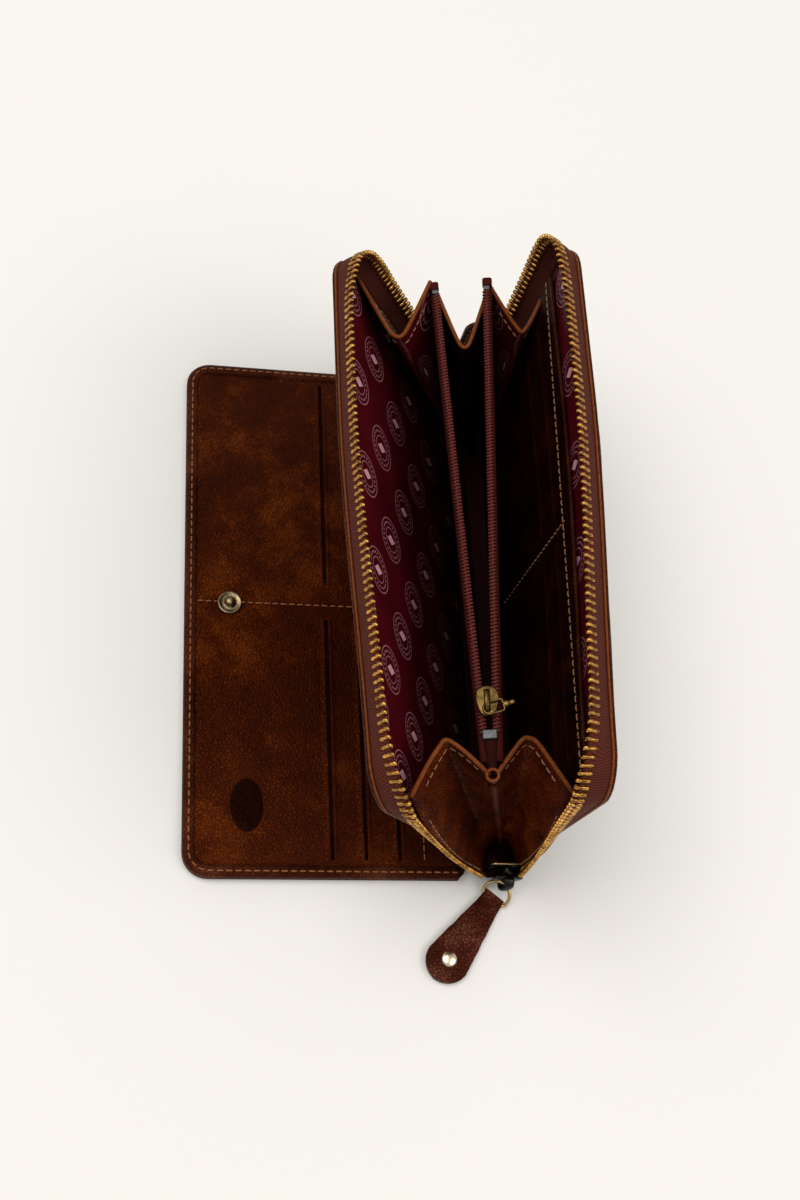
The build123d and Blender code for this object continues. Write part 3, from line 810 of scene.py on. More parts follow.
def make_teeth(side, place, first):
    """Cast teeth: a wide clasp round the tape's cord, a waist, and a head."""
    dense = rim_of(cover_side(spread(COVER_FOOT, 87, 60)), 200)
    length = 0.0
    path = []
    for i, (y, u, ny, nu) in enumerate(dense):
        if i:
            length += hypot(y - dense[i - 1][0], u - dense[i - 1][1])
        lean = tape_bend(side, length)
        out = CHAIN_REACH * cos(lean)
        if u + out * nu > 6.4:
            path.append((y + out * ny, u + out * nu, ny, nu, lean))
    teeth = Solid()
    carry = first
    for start, end in zip(path, path[1:]):
        gap = hypot(end[0] - start[0], end[1] - start[1])
        along_y, along_u = (end[0] - start[0]) / gap, (end[1] - start[1]) / gap
        while carry <= gap:
            y, u, out_y, out_u, lean = (a + (b - a) * carry / gap for a, b in zip(start, end))
            rings = []
            for reach, half, thick in TOOTH_SHAPE:
                ring = []
                for c, s in circle(8, 0.5):
                    b = half * copysign(abs(c) ** 0.6, c) * 1.08
                    d = thick * copysign(abs(s) ** 0.6, s)
                    n = (CHAIN_REACH + reach) * sin(lean) - d * cos(lean)
                    out = reach * cos(lean) + d * sin(lean)
                    ring.append(place(n, y + out * out_y + b * along_y, u + out * out_u + b * along_u))
                rings.append(ring)
            teeth.rings(rings)
            carry += TOOTH_PITCH
        carry -= gap
    teeth.piece(f"{side}_chain", TEETH, f"{side}_cover", "zip_brass", [f"{side}_zip_teeth"])


def inside(y, spans):
    return any(a < y < b for a, b in spans)


def fade(y, span, margin):
    """1 within a slot's span, falling to 0 past its ends."""
    return min(1, max(0, (y - span[0] + margin) / 3)) * min(1, max(0, (span[1] + margin - y) / 3))


def make_card_panel():
    """The leather panel inside the right cover, with two slots in each of two columns."""
    levels = [4.0, 10, 18, 26, 34, 42, 48]
    for height in CARD_SLOTS:
        middle = height + 0.6
        levels += [middle + d for d in (-3.2, -2.2, -1.5, -1.0, -0.62, 0.62, 1.0, 1.5, 2.2, 3.2)]
    levels += [61, 73, 76, 79, 80.6, CARD_TOP]
    levels.sort()
    side = [(w - 3.5, u, 1.0, 0.0) for w, u, _, _ in cover_side(levels, 1)[:len(levels)]]
    columns = sorted(spread(-1, 1, 90) + [y / 94.0 for span in CARD_SPANS for y in span])

    def in_slot(y, u):
        return any(abs(u - h - 0.6) < 0.6 for h in CARD_SLOTS) and inside(y, CARD_SPANS)

    def lips(y, u):
        rise = 0.15 * soft_noise(y, u, 0.04, 2.2)
        for h in CARD_SLOTS:
            for span in CARD_SPANS:
                ends = fade(y, span, 1)
                rise += 0.4 * ends * exp(-(((abs(u - h - 0.6) - 1.1) / 0.55) ** 2))
        return rise

    profile = [(1.4, 0.5), (1.5, 0.0), (2.3, 0.0), (2.5, 0.45)]
    panel = closed_sheet(side, columns, profile, on_right, lift=lips, hole=in_slot)
    panel.piece("card_panel_leather", INNER_PANEL, "right_cover", "outer_leather", ["right_card_panel"])
    lip = Solid()
    top = [on_right(2.0, y, CARD_TOP + 0.15) for y in spread(-94.5, 94.5, 60)]
    lip.rings(tube_rings(top, 0.62, 8))
    lip.piece("card_panel_cut_edge", BINDING, "right_cover", "outer_leather")
    inward = on_right(1, 0, 0) - on_right(0, 0, 0)
    sewing = Solid()
    sew(sewing, "panel_top", [on_right(2.62, -94, CARD_TOP - 3), on_right(2.62, 94, CARD_TOP - 3)], inward)
    sew(sewing, "panel_centre", [on_right(2.62, 1.2, 8), on_right(2.62, 1.2, CARD_TOP - 4)], inward)
    sewing.piece("card_panel_stitching", PALE_THREAD, "right_cover", "outer_leather")
    layers = [(u - CARD_POCKET_DEPTH, u, 0.62 + 0.36 * k) for k, u in enumerate(CARD_SLOTS)]
    make_pockets("right", "right_cover", on_right, COVER_HALF_TOP, CARD_POCKET_SPANS, layers, 0.28)


def make_pockets(prefix, body, place, half, spans, layers, thick):
    """Cloth pockets behind the slots, in two columns. layers lists (lowest u, highest u, depth)."""
    number = 0
    for low_u, high_u, base in layers:
        side = [(half, u, 1.0, 0.0) for u in spread(low_u, high_u, 8)]
        for low, high in spans:
            number += 1
            columns = [y / half for y in spread(low, high, 14)]
            pocket = closed_sheet(side, columns, [(base, 0), (base + thick, 0)], place)
            node = f"{prefix}_card_pocket_{number}"
            pocket.piece(f"{node}_cloth", PLAIN, body, "plain_lining", [node])


def paint(node, material):
    """Gives a carried-over CAD node its material."""
    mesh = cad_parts[node].data
    mesh.materials.clear()
    mesh.materials.append(material)


# ---- flap ----


def flap_side(levels):
    return side_samples(FLAP_HALF, 0.0, FLAP_INNER_X - FLAP_EDGE_X, FLAP_CORNER, 0.0, levels)


def flap_wave(y, u):
    return 0.3 * soft_noise(y, u, 0.022, 5.5) + 0.12 * soft_noise(y, u, 0.08, 1.5)


def make_flap():
    outline = flap_side(spread(0, 85.5, 30))
    columns = spread(-1, 1, 70)
    profile = [(0.05, 1.3), (0.1, 0.6), (0.35, 0.12), (0.75, 0.0), (1.15, 0.2), (1.25, 0.8)]
    outer = closed_sheet(outline, columns, profile, on_flap)
    outer.piece("flap_outer_shell", COVER, "flap", "outer_leather", ["flap_outer_leather"])

    band = Solid()
    rim = rim_of(flap_side(spread(0, 85.5, 40)), 80)
    section = [(1.2, 0.35), (1.9, 0.0), (2.9, -0.05), (3.65, 0.35), (4.05, 1.2), (4.12, 2.3)]
    section += [(4.0, 3.3), (3.7, 3.95), (3.2, 4.15), (1.25, 4.1)]
    rail(band, rim, section, on_flap)
    band.piece("flap_turned_edge", BINDING, "flap", "outer_leather", ["flap_edge_binding"])
    make_flap_panel()

    sewing = Solid()
    up = Vector((0, 0, 1))
    sew(sewing, "flap_border", rim_path(rim, 4.13, 2.1, on_flap), up, pitch=3.1, length=2.3)
    sew(sewing, "flap_centre", [Vector((x, FLAP_CENTRE_Y, 3.95)) for x in (-106, -27.0)], up)
    sew(sewing, "flap_end", [Vector((FLAP_SEAM_X, y, 3.95)) for y in (-94, 94)], up)
    sewing.piece("flap_stitching", THREAD, "flap", "outer_leather")
    slots_u = [FLAP_INNER_X - x for x in SLOT_X]
    layers = [(u, u + FLAP_POCKET_DEPTH, 1.25 + 0.37 * k) for k, u in enumerate(slots_u)]
    make_pockets("flap", "flap", on_flap, FLAP_HALF, FLAP_POCKET_SPANS, layers, 0.3)


def make_flap_panel():
    inner_u = [FLAP_INNER_X - x for x in SLOT_X]
    levels = [0, 2.5, 5, 8, 11.5, 14, 16.5, 27, 29.5, 38.5, 48.5, 52, 56, 60, 64, 68, 72, 76, 80, 84]
    for u in inner_u:
        levels += [u + d for d in (-3.4, -2.4, -1.7, -1.2, -0.85, -0.55, 0.55, 0.85, 1.2, 1.7, 2.4, 3.4)]
    levels.sort()
    margin = 4.05
    top = FLAP_INNER_X - FLAP_EDGE_X - margin
    side = side_samples(FLAP_HALF - margin, 0.0, top, FLAP_CORNER - margin, 0.0, levels)
    width = FLAP_HALF - margin
    columns = sorted(spread(-1, 1, 110) + [y / width for span in FLAP_SPANS for y in span])

    def in_slot(y, u):
        return min(abs(FLAP_INNER_X - u - x) for x in SLOT_X) < 0.55 and inside(y, FLAP_SPANS)

    def surface(y, u):
        x = FLAP_INNER_X - u
        inset = min(width - abs(y), top - u)
        rise = flap_wave(y, u) + 0.42 * (1 - exp(-inset / 2.2)) - 0.25
        for slot_x in SLOT_X:
            for span in FLAP_SPANS:
                shown = fade(y, span, 1.5)
                rise += 0.55 * shown * exp(-(((abs(x - slot_x) - 1.15) / 0.6) ** 2))
                rise += 0.10 * shown * exp(-(((x - slot_x - 3.4) / 1.6) ** 2))
        rise -= 0.28 * exp(-((y - FLAP_CENTRE_Y) / 1.1) ** 2) * (1 if x < -27 else 0)
        rise -= 0.22 * exp(-((x - FLAP_SEAM_X) / 1.0) ** 2)
        away = hypot(x - SNAP_X, y)
        return rise - 0.35 * exp(-((away / 7) ** 4)) - badge_dip(x, y)

    profile = [(2.3, 0.3), (2.4, 0.0), (3.2, 0.0), (3.6, 0.1)]
    panel = closed_sheet(side, columns, profile, on_flap, lift=surface, hole=in_slot)
    panel.piece("flap_inner_face", FLAP_FACE, "flap", "outer_leather", ["flap_card_panel"])
    make_badge()


def badge_dip(x, y):
    """A soft hollow pressed round the plain badge."""
    bx, by, half_x, half_y = BADGE
    reach = hypot((x - bx) / (half_x + 1.6), (y - by) / (half_y + 1.6))
    return 0.3 * exp(-((reach * 0.95) ** 6))


def make_badge():
    """A plain dark oval of inlaid leather in place of any mark."""
    bx, by, half_x, half_y = BADGE
    rings = []
    for share, height in ((1.0, 3.0), (1.0, 3.68), (0.95, 3.82), (0.8, 3.84), (0.4, 3.86), (0.06, 3.86)):
        reach_x, reach_y = half_x * share, half_y * share
        rings.append([Vector((bx + reach_x * c, by + reach_y * s, height)) for c, s in circle(48)])
    ringed(rings).piece("plain_oval_badge", BADGE_LEATHER, "flap", "outer_leather")


def lathe(profile, origin, axis, sides=32):
    """A turned shape: profile lists (radius, height) and axis is the direction of height."""
    axis = Vector(axis).normalized()
    side = axis.orthogonal().normalized()
    other = axis.cross(side)
    rings = []
    for radius, height in profile:
        centre = Vector(origin) + axis * height
        rings.append([centre + side * (radius * c) + other * (radius * s) for c, s in circle(sides)])
    return ringed(rings)


def make_snap():
    stud = [(4.4, 0.0), (4.5, 0.35), (4.3, 0.75), (3.9, 0.85), (3.4, 0.6), (2.6, 0.45), (2.1, 0.55)]
    stud += [(1.75, 0.85), (1.45, 1.3), (1.6, 1.75), (1.65, 2.1), (1.45, 2.45), (0.9, 2.65), (0.1, 2.7)]
    cap = [(0.1, 0.0), (3.6, 0.02), (4.8, 0.12), (5.3, 0.35), (5.4, 0.62), (5.0, 0.8), (1.5, 0.8), (1.5, 3.4)]
    for name, profile, z in (("stud", stud, 3.55), ("cap", cap, 0.05)):
        turned_part = lathe(profile, (SNAP_X, 0, z), (0, 0, 1))
        turned_part.piece(f"snap_{name}", SNAP_BRASS, "flap", "snap_brass", [f"flap_snap_{name}"])
    outward = on_left(-1, 0, 0) - on_left(0, 0, 0)
    socket = [(4.4, -0.1), (4.5, 0.3), (4.2, 0.65), (3.6, 0.75), (3.2, 1.1), (2.8, 1.2), (2.35, 1.1)]
    socket += [(2.2, 0.8), (2.2, 0.1)]
    turned_socket = lathe(socket, on_left(-2.1, 0, SNAP_SOCKET_HEIGHT), outward)
    turned_socket.piece("snap_socket", SNAP_BRASS, "left_cover", "snap_brass", ["cover_snap_socket"])


# ---- folded gussets and the coin pocket ----


def coin_x(z, across):
    lean = radians(COIN_LEAN)
    return COIN_X - (z - COIN_Z) * tan(lean) + across / cos(lean)


def coin_spread(side):
    return sin(radians(COIN_OPEN[side])) * COIN_LENGTH


def wall_share(z):
    """How far up a wall of the coin pocket z is, from 0 to 1."""
    return (z - COIN_WALL_LOW) / (COIN_WALL_TOP - COIN_WALL_LOW)


def coin_far_point(z, across, foot_y):
    """A point beside the coin pocket's far end, which leans out from foot_y as it goes up."""
    return Vector((coin_x(z, across), foot_y + 8 * z / COIN_TOP, z))


def beside_wall(side):
    """The edge of a far gusset that runs up the outside of a coin pocket's wall."""
    return lambda z: coin_far_point(z, side * (3.2 + coin_spread(side) * (z / COIN_TOP)), 88.0)


def coin_wall_reach(side, z):
    """How far a wall of the coin pocket stands from its middle plane at the far end."""
    return 4.4 + (coin_spread(side) - 2.2) * wall_share(z)


def cover_point(side, z, end, inward=1.0, inset=3.0):
    """A point on a cover's lining beside its near (-1) or far (1) edge, at height z."""
    place = on_left if side < 0 else on_right
    lean = radians((LEFT_LEAN if side < 0 else RIGHT_LEAN) - twist(end * COVER_HALF_BOTTOM))
    u = (z - PIVOT_Z - inward * sin(lean)) / cos(lean)
    half = COVER_HALF_BOTTOM + (u - COVER_FOOT) * tan(SIDE_TILT)
    return place(inward, end * (half - inset), u)


def folded_gusset(name, corner_a, corner_b, corner_c, low, high, materials, nodes, body, stitches, bow=0.45):
    """A leather sheet folded once between two edges, with a cut top edge and stitching.

    corner_a, corner_b and corner_c give the fold line's points at a height.
    """
    across, up, thick, weight = 30, 18, 0.9, 5.0

    def spot(s, z):
        a, b, c = corner_a(z), corner_b(z), corner_c(z)
        wa, wb, wc = (1 - s) ** 2, 2 * weight * s * (1 - s), s * s
        p = (a * wa + b * wb + c * wc) / (wa + wb + wc)
        side = (c - a).cross(Vector((0, 0, 1))).normalized()
        half = sin(2 * pi * s) ** 2
        return p + side * (bow * half * (0.3 + 0.7 * (z - low) / (high - low)))

    shares = [0.5 - 0.5 * cos(pi * k / across) for k in range(across + 1)]
    shares = [0.5 * s + 0.5 * k / across for k, s in enumerate(shares)]
    heights = spread(low, high, up)
    grid = [[spot(s, z) for s in shares] for z in heights]
    solid = Solid()
    fronts, backs = [], []
    for i, row in enumerate(grid):
        front, back = [], []
        for j, p in enumerate(row):
            along = row[min(j + 1, across)] - row[max(j - 1, 0)]
            rise = grid[min(i + 1, up)][j] - grid[max(i - 1, 0)][j]
            normal = along.cross(rise).normalized()
            uv = (shares[j] * 60 + 7, heights[i])
            front.append(solid.point(p + normal * thick / 2, uv))
            back.append(solid.point(p - normal * thick / 2, uv))
        fronts.append(front)
        backs.append(back)
    for i in range(up):
        for j in range(across):
            solid.ink = 0 if j < across / 2 else 1
            solid.face(fronts[i][j], fronts[i][j + 1], fronts[i + 1][j + 1], fronts[i + 1][j])
            solid.face(backs[i][j], backs[i + 1][j], backs[i + 1][j + 1], backs[i][j + 1])
    for j in range(across):
        solid.face(fronts[0][j], backs[0][j], backs[0][j + 1], fronts[0][j + 1])
    for i in range(up):
        for j in (0, across):
            solid.face(fronts[i][j], fronts[i + 1][j], backs[i + 1][j], backs[i][j])
    solid.ink = 2
    top = grid[-1]
    solid.rings(tube_rings([p + Vector((0, 0, 0.15)) for p in top], 0.72, 8))
    solid.ink = 3
    for sign in stitches:
        for drop, begin, end in ((3.2, 2, across // 2 - 2), (3.2, across // 2 + 2, across - 2)):
            z = high - drop
            row = [spot(shares[j], z) for j in range(begin, end + 1)]
            normal = (row[-1] - row[0]).cross(Vector((0, 0, 1))).normalized() * sign
            sew(solid, name + str(begin), [p + normal * (thick / 2 + 0.05) for p in row], normal)
        line = [spot(EDGE_SEAM_SHARE, z) for z in spread(low + 4, high - 12, 12)]
        normal = (grid[up // 2][3] - grid[up // 2][1]).cross(Vector((0, 0, 1))).normalized() * sign
        sew(solid, name + "edge", [p + normal * (thick / 2 + 0.05) for p in line], normal)
    return solid.piece(name, materials, body, "gusset_leather", nodes)


def between(low, high, low_point, high_point):
    """A corner that moves in a straight line as the height goes from low to high."""
    a, b = Vector(low_point), Vector(high_point)
    return lambda z: a + (b - a) * ((z - low) / (high - low))


def near_inset(share, top, foot, bulge):
    """How far a near gusset's outer edge stands inside the cover's near end, for a share of its height."""
    return top * share ** 4 + foot - bulge * share * (1 - share)


def make_gussets():
    low, near_low, high = 7.0, 3.6, 73.5
    near = [GUSSET, GUSSET, EDGE, PALE_THREAD]
    far = [GUSSET, PRINT, EDGE, PALE_THREAD]
    far_left = (
        lambda z: cover_point(-1, z, 1),
        between(low, high, (-5.5, 66, low), (-43.7, 66.7, high)),
        beside_wall(-1),
    )
    far_right = (
        lambda z: cover_point(1, z, 1),
        between(low, high, (6.5, 70, low), (1.2, 74.2, high)),
        beside_wall(1),
    )
    near_left = (
        lambda z: cover_point(-1, z, -1, 2.2 + 2.4 * z / high, near_inset(z / high, 11, -6, 11)),
        between(near_low, high, (-5.4, -90.0, near_low), (-35.6, -71.6, high)),
        lambda z: Vector((coin_x(z, -0.9), -85.6, z)),
    )
    near_right = (
        lambda z: cover_point(1, z, -1, 2.8 + 0.6 * z / high, near_inset(z / high, 12, -5, 6)),
        between(near_low, high, (4.0, -89.5, near_low), (-8.4, -70.3, high)),
        lambda z: Vector((coin_x(z, 0.9), -85.6, z)),
    )
    specs = {
        "far_gusset_left": (far_left, far, low),
        "far_gusset_right": (far_right, far, low),
        "near_gusset_left": (near_left, near, near_low),
        "near_gusset_right": (near_right, near, near_low),
    }
    for name, (corners, materials, foot) in specs.items():
        piece = folded_gusset(name + "_fold", *corners, foot, high, materials, [name], "spine", (1, -1))
        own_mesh(piece)

    middle = (
        lambda z: coin_far_point(z, 0.3 - coin_wall_reach(-1, z), 87.4),
        between(low, high, (-1.5, 60, low), (-20.3, 64.9, high)),
        lambda z: coin_far_point(z, coin_wall_reach(1, z) - 0.3, 87.4),
    )
    piece = folded_gusset(
        "far_gusset_middle_fold", *middle, low, high - 0.8, [PLAIN, PLAIN, EDGE, PALE_THREAD],
        ["far_gusset_middle"], "coin_pocket", ())
    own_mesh(piece)


def coin_squash(piece):
    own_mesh(piece)


def make_coin_side(side, name):
    """One wall of the coin pocket, with its half of the zip along the top."""
    body = f"coin_mouth_{name}"
    wall = Solid()
    rows = []
    for z in spread(COIN_WALL_LOW, COIN_WALL_TOP, 18):
        t = wall_share(z)
        row = []
        for k in range(41):
            share = k / 40
            low_x, top_x = 1.3 + 3.1 * share, 2.2 + coin_spread(side) * share
            y = -82 + share * (170 + 8 * t)
            swell = 0.5 * soft_noise(y, z, 0.03, side) * sin(pi * t)
            row.append((side * (low_x + (top_x - low_x) * t + swell), y, z))
        rows.append(row)
    for offset in (-0.3, 0.3):
        sheet = [[wall.point(on_coin(x + offset, y, z), (y, z)) for x, y, z in row] for row in rows]
        for i in range(len(sheet) - 1):
            for j in range(40):
                wall.face(sheet[i][j], sheet[i][j + 1], sheet[i + 1][j + 1], sheet[i + 1][j])
    count = len(rows) * 41
    edge = list(range(41)) + [i * 41 + 40 for i in range(1, len(rows))]
    edge += [count - 1 - j for j in range(1, 41)] + [i * 41 for i in range(len(rows) - 2, 0, -1)]
    wall.join(edge, [k + count for k in edge])
    coin_squash(wall.piece(f"{body}_satin", PRINT, body, "printed_lining", [f"coin_wall_{name}"]))

    section = [(0.7, 75.05), (2.2, 75.15), (3.1, 74.9), (3.5, 74.1), (3.45, 71.0), (2.7, 71.0)]
    section += [(2.6, 73.9), (2.2, 74.4), (0.7, 74.5)]
    rings, uvs = [], []
    for y in spread(-81.5, 95.5, 60):
        rings.append([opened(side, side * x, y, z) for x, z in section])
        uvs.append([(y, x + (COIN_TOP - z)) for x, z in section])
    tape = ringed(rings, uvs=uvs)
    coin_squash(tape.piece(f"{body}_tape", COIN_TAPE, body, "coin_tape_cloth", [f"coin_zip_tape_{name}"]))

    coil = Solid()
    y = -72.0
    while y < 91.0:
        loop = [(0.45, 75.4, 0.75), (0.7, 75.75, 1.0), (1.4, 75.9, 1.0), (2.3, 75.8, 0.95), (2.75, 75.4, 0.7)]
        path = [opened(side, side * x, y + 0.25 * (x - 1.5) * side, z) for x, z, r in loop]
        coil.rings(tube_rings(path, 0.46, 6, [r for x, z, r in loop], 0.9))
        y += 1.24
    coil.rings(tube_rings([opened(side, side * 1.75, y, 76.12) for y in spread(-72, 91, 80)], 0.2, 6))
    coin_squash(coil.piece(f"{body}_coil", COIL, body, "coin_coil_plastic", [f"coin_zip_coil_{name}"]))

    def open_place(*p):
        return opened(side, *p)

    stop = ringed(rounded_box((side * 1.75, 91.7, 75.8), (1.1, 0.8, 0.75), 0.3), open_place)
    coin_squash(stop.piece(f"{body}_stop", STEEL, body, "bright_steel", [f"coin_zip_top_stop_{name}"]))
    tuck = ringed(rounded_box((side * 2.0, 94.2, 75.4), (1.7, 1.6, 1.5), 0.7), open_place)
    coin_squash(tuck.piece(f"{body}_tape_tuck", COIN_TAPE, body, "coin_tape_cloth"))


def rounded_box(centre, half, radius, sides=5):
    """Rings of a box with rounded edges, stacked along z."""
    cx, cy, cz = centre
    hx, hy, hz = half
    levels = []
    for k in range(sides + 1):
        a = pi / 2 * k / sides
        levels.append((-hz + radius - radius * cos(a), radius * (1 - sin(a))))
    levels += [(-z, inset) for z, inset in reversed(levels)]
    rings = []
    for z, inset in levels:
        ring = []
        for qx, qy, start in ((1, 1, 0), (-1, 1, 90), (-1, -1, 180), (1, -1, 270)):
            for step in range(4):
                a = radians(start + 30 * step)
                x = qx * (hx - radius - inset) + radius * cos(a)
                y = qy * (hy - radius - inset) + radius * sin(a)
                ring.append((cx + x, cy + y, cz + z))
        rings.append(ring)
    return rings


def make_coin_pocket():
    for side, name in ((-1, "left"), (1, "right")):
        make_coin_side(side, name)
    make_coin_ends()
    make_coin_slider()


def make_coin_ends():
    """The bottom stop, the tape's folded tail and the small leather loop at the near end."""
    crimp = ringed(rounded_box((0, -73.2, 75.9), (2.3, 1.5, 0.75), 0.35), on_coin)
    crimp.piece("coin_zip_crimp", STEEL, "coin_pocket", "bright_steel", ["coin_zip_bottom_stop"])
    rings = []
    for k, y in enumerate(spread(-74.5, -85.0, 8)):
        half = 2.3 - 1.1 * k / 8
        top = 75.6 - 0.4 * k / 8
        ring = [(-half, top - 1.3), (-half, top - 0.2), (0, top + 0.25), (half, top - 0.2), (half, top - 1.3)]
        rings.append([on_coin(x, y, z) for x, z in ring])
    ringed(rings).piece("coin_tape_tail", TAIL_CLOTH, "coin_pocket", "coin_tape_cloth", ["coin_zip_tail"])
    loop = Solid()
    rings = []
    for c, s in circle(28):
        ring = []
        for across, up in circle(8):
            r = 1.75 + 0.45 * across
            ring.append(on_coin(r * c, COIN_LOOP_Y + r * s, 74.2 + 1.9 * up))
        rings.append(ring)
    loop.loop(rings)
    loop.piece("coin_end_loop", GUSSET, "coin_pocket", "gusset_leather", ["coin_zip_loop"])
    rim = Solid()
    hoop = [on_coin(1.85 * c, COIN_LOOP_Y + 1.85 * s, 76.0) for c, s in circle(28)]
    rim.loop(closed_tube(hoop, 0.5, (on_coin(0, 0, 1) - on_coin(0, 0, 0)).normalized()))
    rim.piece("coin_end_loop_edge", EDGE, "coin_pocket", "gusset_leather")
    heights = spread(72.5, 2.5, 14)
    path = [Vector((coin_x(z, 0), -87.0, z)) for z in heights]
    widths = [1.0 + 0.9 * z / COIN_TOP for z in heights]
    ridge = ringed(tube_rings(path, 1.0, 10, widths, up=Vector((0, 1, 0))))
    ridge.piece("coin_end_ridge", GUSSET, "coin_pocket", "gusset_leather")
    # painted shade: the pocket's base gets the near-black plain satin
    paint("coin_pocket_base", PLAIN)


def smooth_plate(place, outline, base, top, bevel, steps=3):
    """A plate with rounded edges from a closed outline of (x, y) points round the origin."""
    cx = sum(p[0] for p in outline) / len(outline)
    cy = sum(p[1] for p in outline) / len(outline)
    size = max(hypot(x - cx, y - cy) for x, y in outline)
    layers = []
    for k in range(steps + 1):
        a = pi / 2 * k / steps
        layers.append((base + bevel * (1 - cos(a)), bevel * (1 - sin(a))))
    layers += [(base + top - z, inset) for z, inset in reversed(layers)]
    rings = []
    for z, inset in layers:
        share = 1 - inset / size
        rings.append([place(cx + (x - cx) * share, cy + (y - cy) * share, z) for x, y in outline])
    return ringed(rings)


def rounded_outline(points, radius, steps=5):
    """A closed outline with its corners rounded."""
    out = []
    count = len(points)
    for i, p in enumerate(points):
        p = Vector((*p, 0))
        before = Vector((*points[i - 1], 0)) - p
        after = Vector((*points[(i + 1) % count], 0)) - p
        cut = min(radius, before.length * 0.45, after.length * 0.45)
        a, b = p + before.normalized() * cut, p + after.normalized() * cut
        for k in range(steps + 1):
            t = k / steps
            q = a * (1 - t) ** 2 + p * (2 * t * (1 - t)) + b * t * t
            out.append((q.x, q.y))
    return out


def make_coin_slider():
    """A domed plate with its bridge, a narrow plate below the coils, and the link with its knob."""
    def place(x, y, z):
        return on_coin(x, COIN_SLIDER_Y + y, z)

    shape = [(-2.4, -4.6), (2.4, -4.6), (3.9, 1.4), (3.0, 4.4), (0, 5.4), (-3.0, 4.4), (-3.9, 1.4)]
    outline = rounded_outline(shape, 1.7)
    solid = smooth_plate(place, outline, 77.0, 78.15, 0.55)
    narrow = rounded_outline([(-1.0, -3), (1.0, -3), (1.0, 3), (-1.0, 3)], 0.5)
    merge(solid, smooth_plate(place, narrow, 73.4, 74.3, 0.25))
    solid.rings(tube_rings([place(0, 1.5, 73.8), place(0, 1.5, 77.2)], 0.32, 8))
    half_bridge = [(3.3, 77.9), (3.2, 79.1), (2.7, 80.1), (1.7, 80.6)]
    bridge = [(-y, z) for y, z in half_bridge] + [(0, 80.75)] + half_bridge[::-1]
    path = [place(0, y, z) for y, z in bridge]
    solid.rings(tube_rings(path, 0.5, 10, flat=2.0, up=Vector((1, 0, 0))))
    solid.piece("coin_slider", SLIDER_BRASS, "coin_slider", "slider_brass", ["coin_slider_body"])

    c, s = cos(radians(COIN_PULL_TURN)), sin(radians(COIN_PULL_TURN))

    def hang(x, y):
        return on_coin(x * c - y * s, COIN_LEG_Y + x * s + y * c, COIN_PULL_HEIGHT)

    link = Solid()
    hoop = []
    for k in range(14):
        a = pi / 2 + pi * k / 13
        hoop.append(hang(0.65 + 2.0 * cos(a), 2.0 * sin(a)))
    hoop += [hang(2.0, -2.0), hang(3.6, -2.0), hang(4.7, -1.9), hang(5.0, -1.5), hang(5.0, 0)]
    hoop += [hang(5.0, 1.5), hang(4.7, 1.9), hang(3.6, 2.0), hang(2.0, 2.0)]
    up = Vector((sin(radians(-COIN_LEAN)), 0, cos(radians(COIN_LEAN))))
    link.loop(closed_tube(hoop, 0.4, up))
    collar, knob = (4.4, 5.4, 6.6, 6.8), (6.7, 7.2, 8.3, 8.75)
    link.rings(tube_rings([hang(x, 0) for x in collar], 1.0, 12, (0.55, 1, 1, 0.8), 0.5))
    link.rings(tube_rings([hang(x, 0) for x in knob], 0.8, 12, (0.6, 1, 1, 0.6), 0.6))
    link.piece("coin_pull_link", SLIDER_BRASS, "coin_pull", "slider_brass", ["coin_slider_pull"])


def closed_tube(path, radius, up, sides=8):
    """Rings of a wire round a closed path that lies square to up."""
    rings = []
    count = len(path)
    for i, p in enumerate(path):
        along = (path[(i + 1) % count] - path[i - 1]).normalized()
        side = along.cross(up).normalized()
        rings.append([p + side * (radius * c) + up * (radius * s) for c, s in circle(sides)])
    return rings


def merge(solid, other):
    """Adds another solid's points and faces."""
    start = len(solid.verts)
    solid.verts += other.verts
    solid.uvs += other.uvs
    for corners, ink in zip(other.faces, other.inks):
        solid.faces.append(tuple(c + start for c in corners))
        solid.inks.append(ink)


# ---- spine, folds, end tab ----


def make_spine():
    side = [(90.0, u, 1.0, 0.0) for u in spread(0.2, 16.8, 8)]

    def place(n, y, u):
        return Vector((u - PIVOT_X, y, n))

    sole = closed_sheet(side, spread(-1, 1, 60), [(0.02, 0.6), (0.3, 0.05), (1.1, 0.0), (1.35, 0.3)], place)
    sole.piece("spine_sole", COVER, "spine", "outer_leather", ["spine_leather"])
    paint("spine_lining", PLAIN)
    make_tongue()
    make_spine_folds()
    make_flap_fold()
    make_end_tab()
    stop = ringed(rounded_box((0, 95.8, 1.9), (1.6, 1.2, 1.5), 0.4), lambda *p: Vector(p))
    stop.piece("zip_end_stop", TEETH, "spine", "zip_brass", ["zip_bottom_stop"])


def make_tongue():
    """The tapes' sewn ends, a dark cloth tongue that closes the near end below the main slider."""
    rings = []
    stations = ((-88.0, 8.4, 2.2), (-91.0, 8.9, 2.3), (-95.0, 9.0, 2.6), (-98.0, 8.0, 3.2), (-99.6, 5.6, 4.0))
    for y, half, z in stations:
        corners = ((half, 0), (-half, 0), (-half, 0.5), (half, 0.5))
        rings.append([Vector((x, y, z + lift)) for x, lift in corners])
    ringed(rings).piece("zip_tape_ends", DARK_CLOTH, "spine", "zip_tape_cloth")


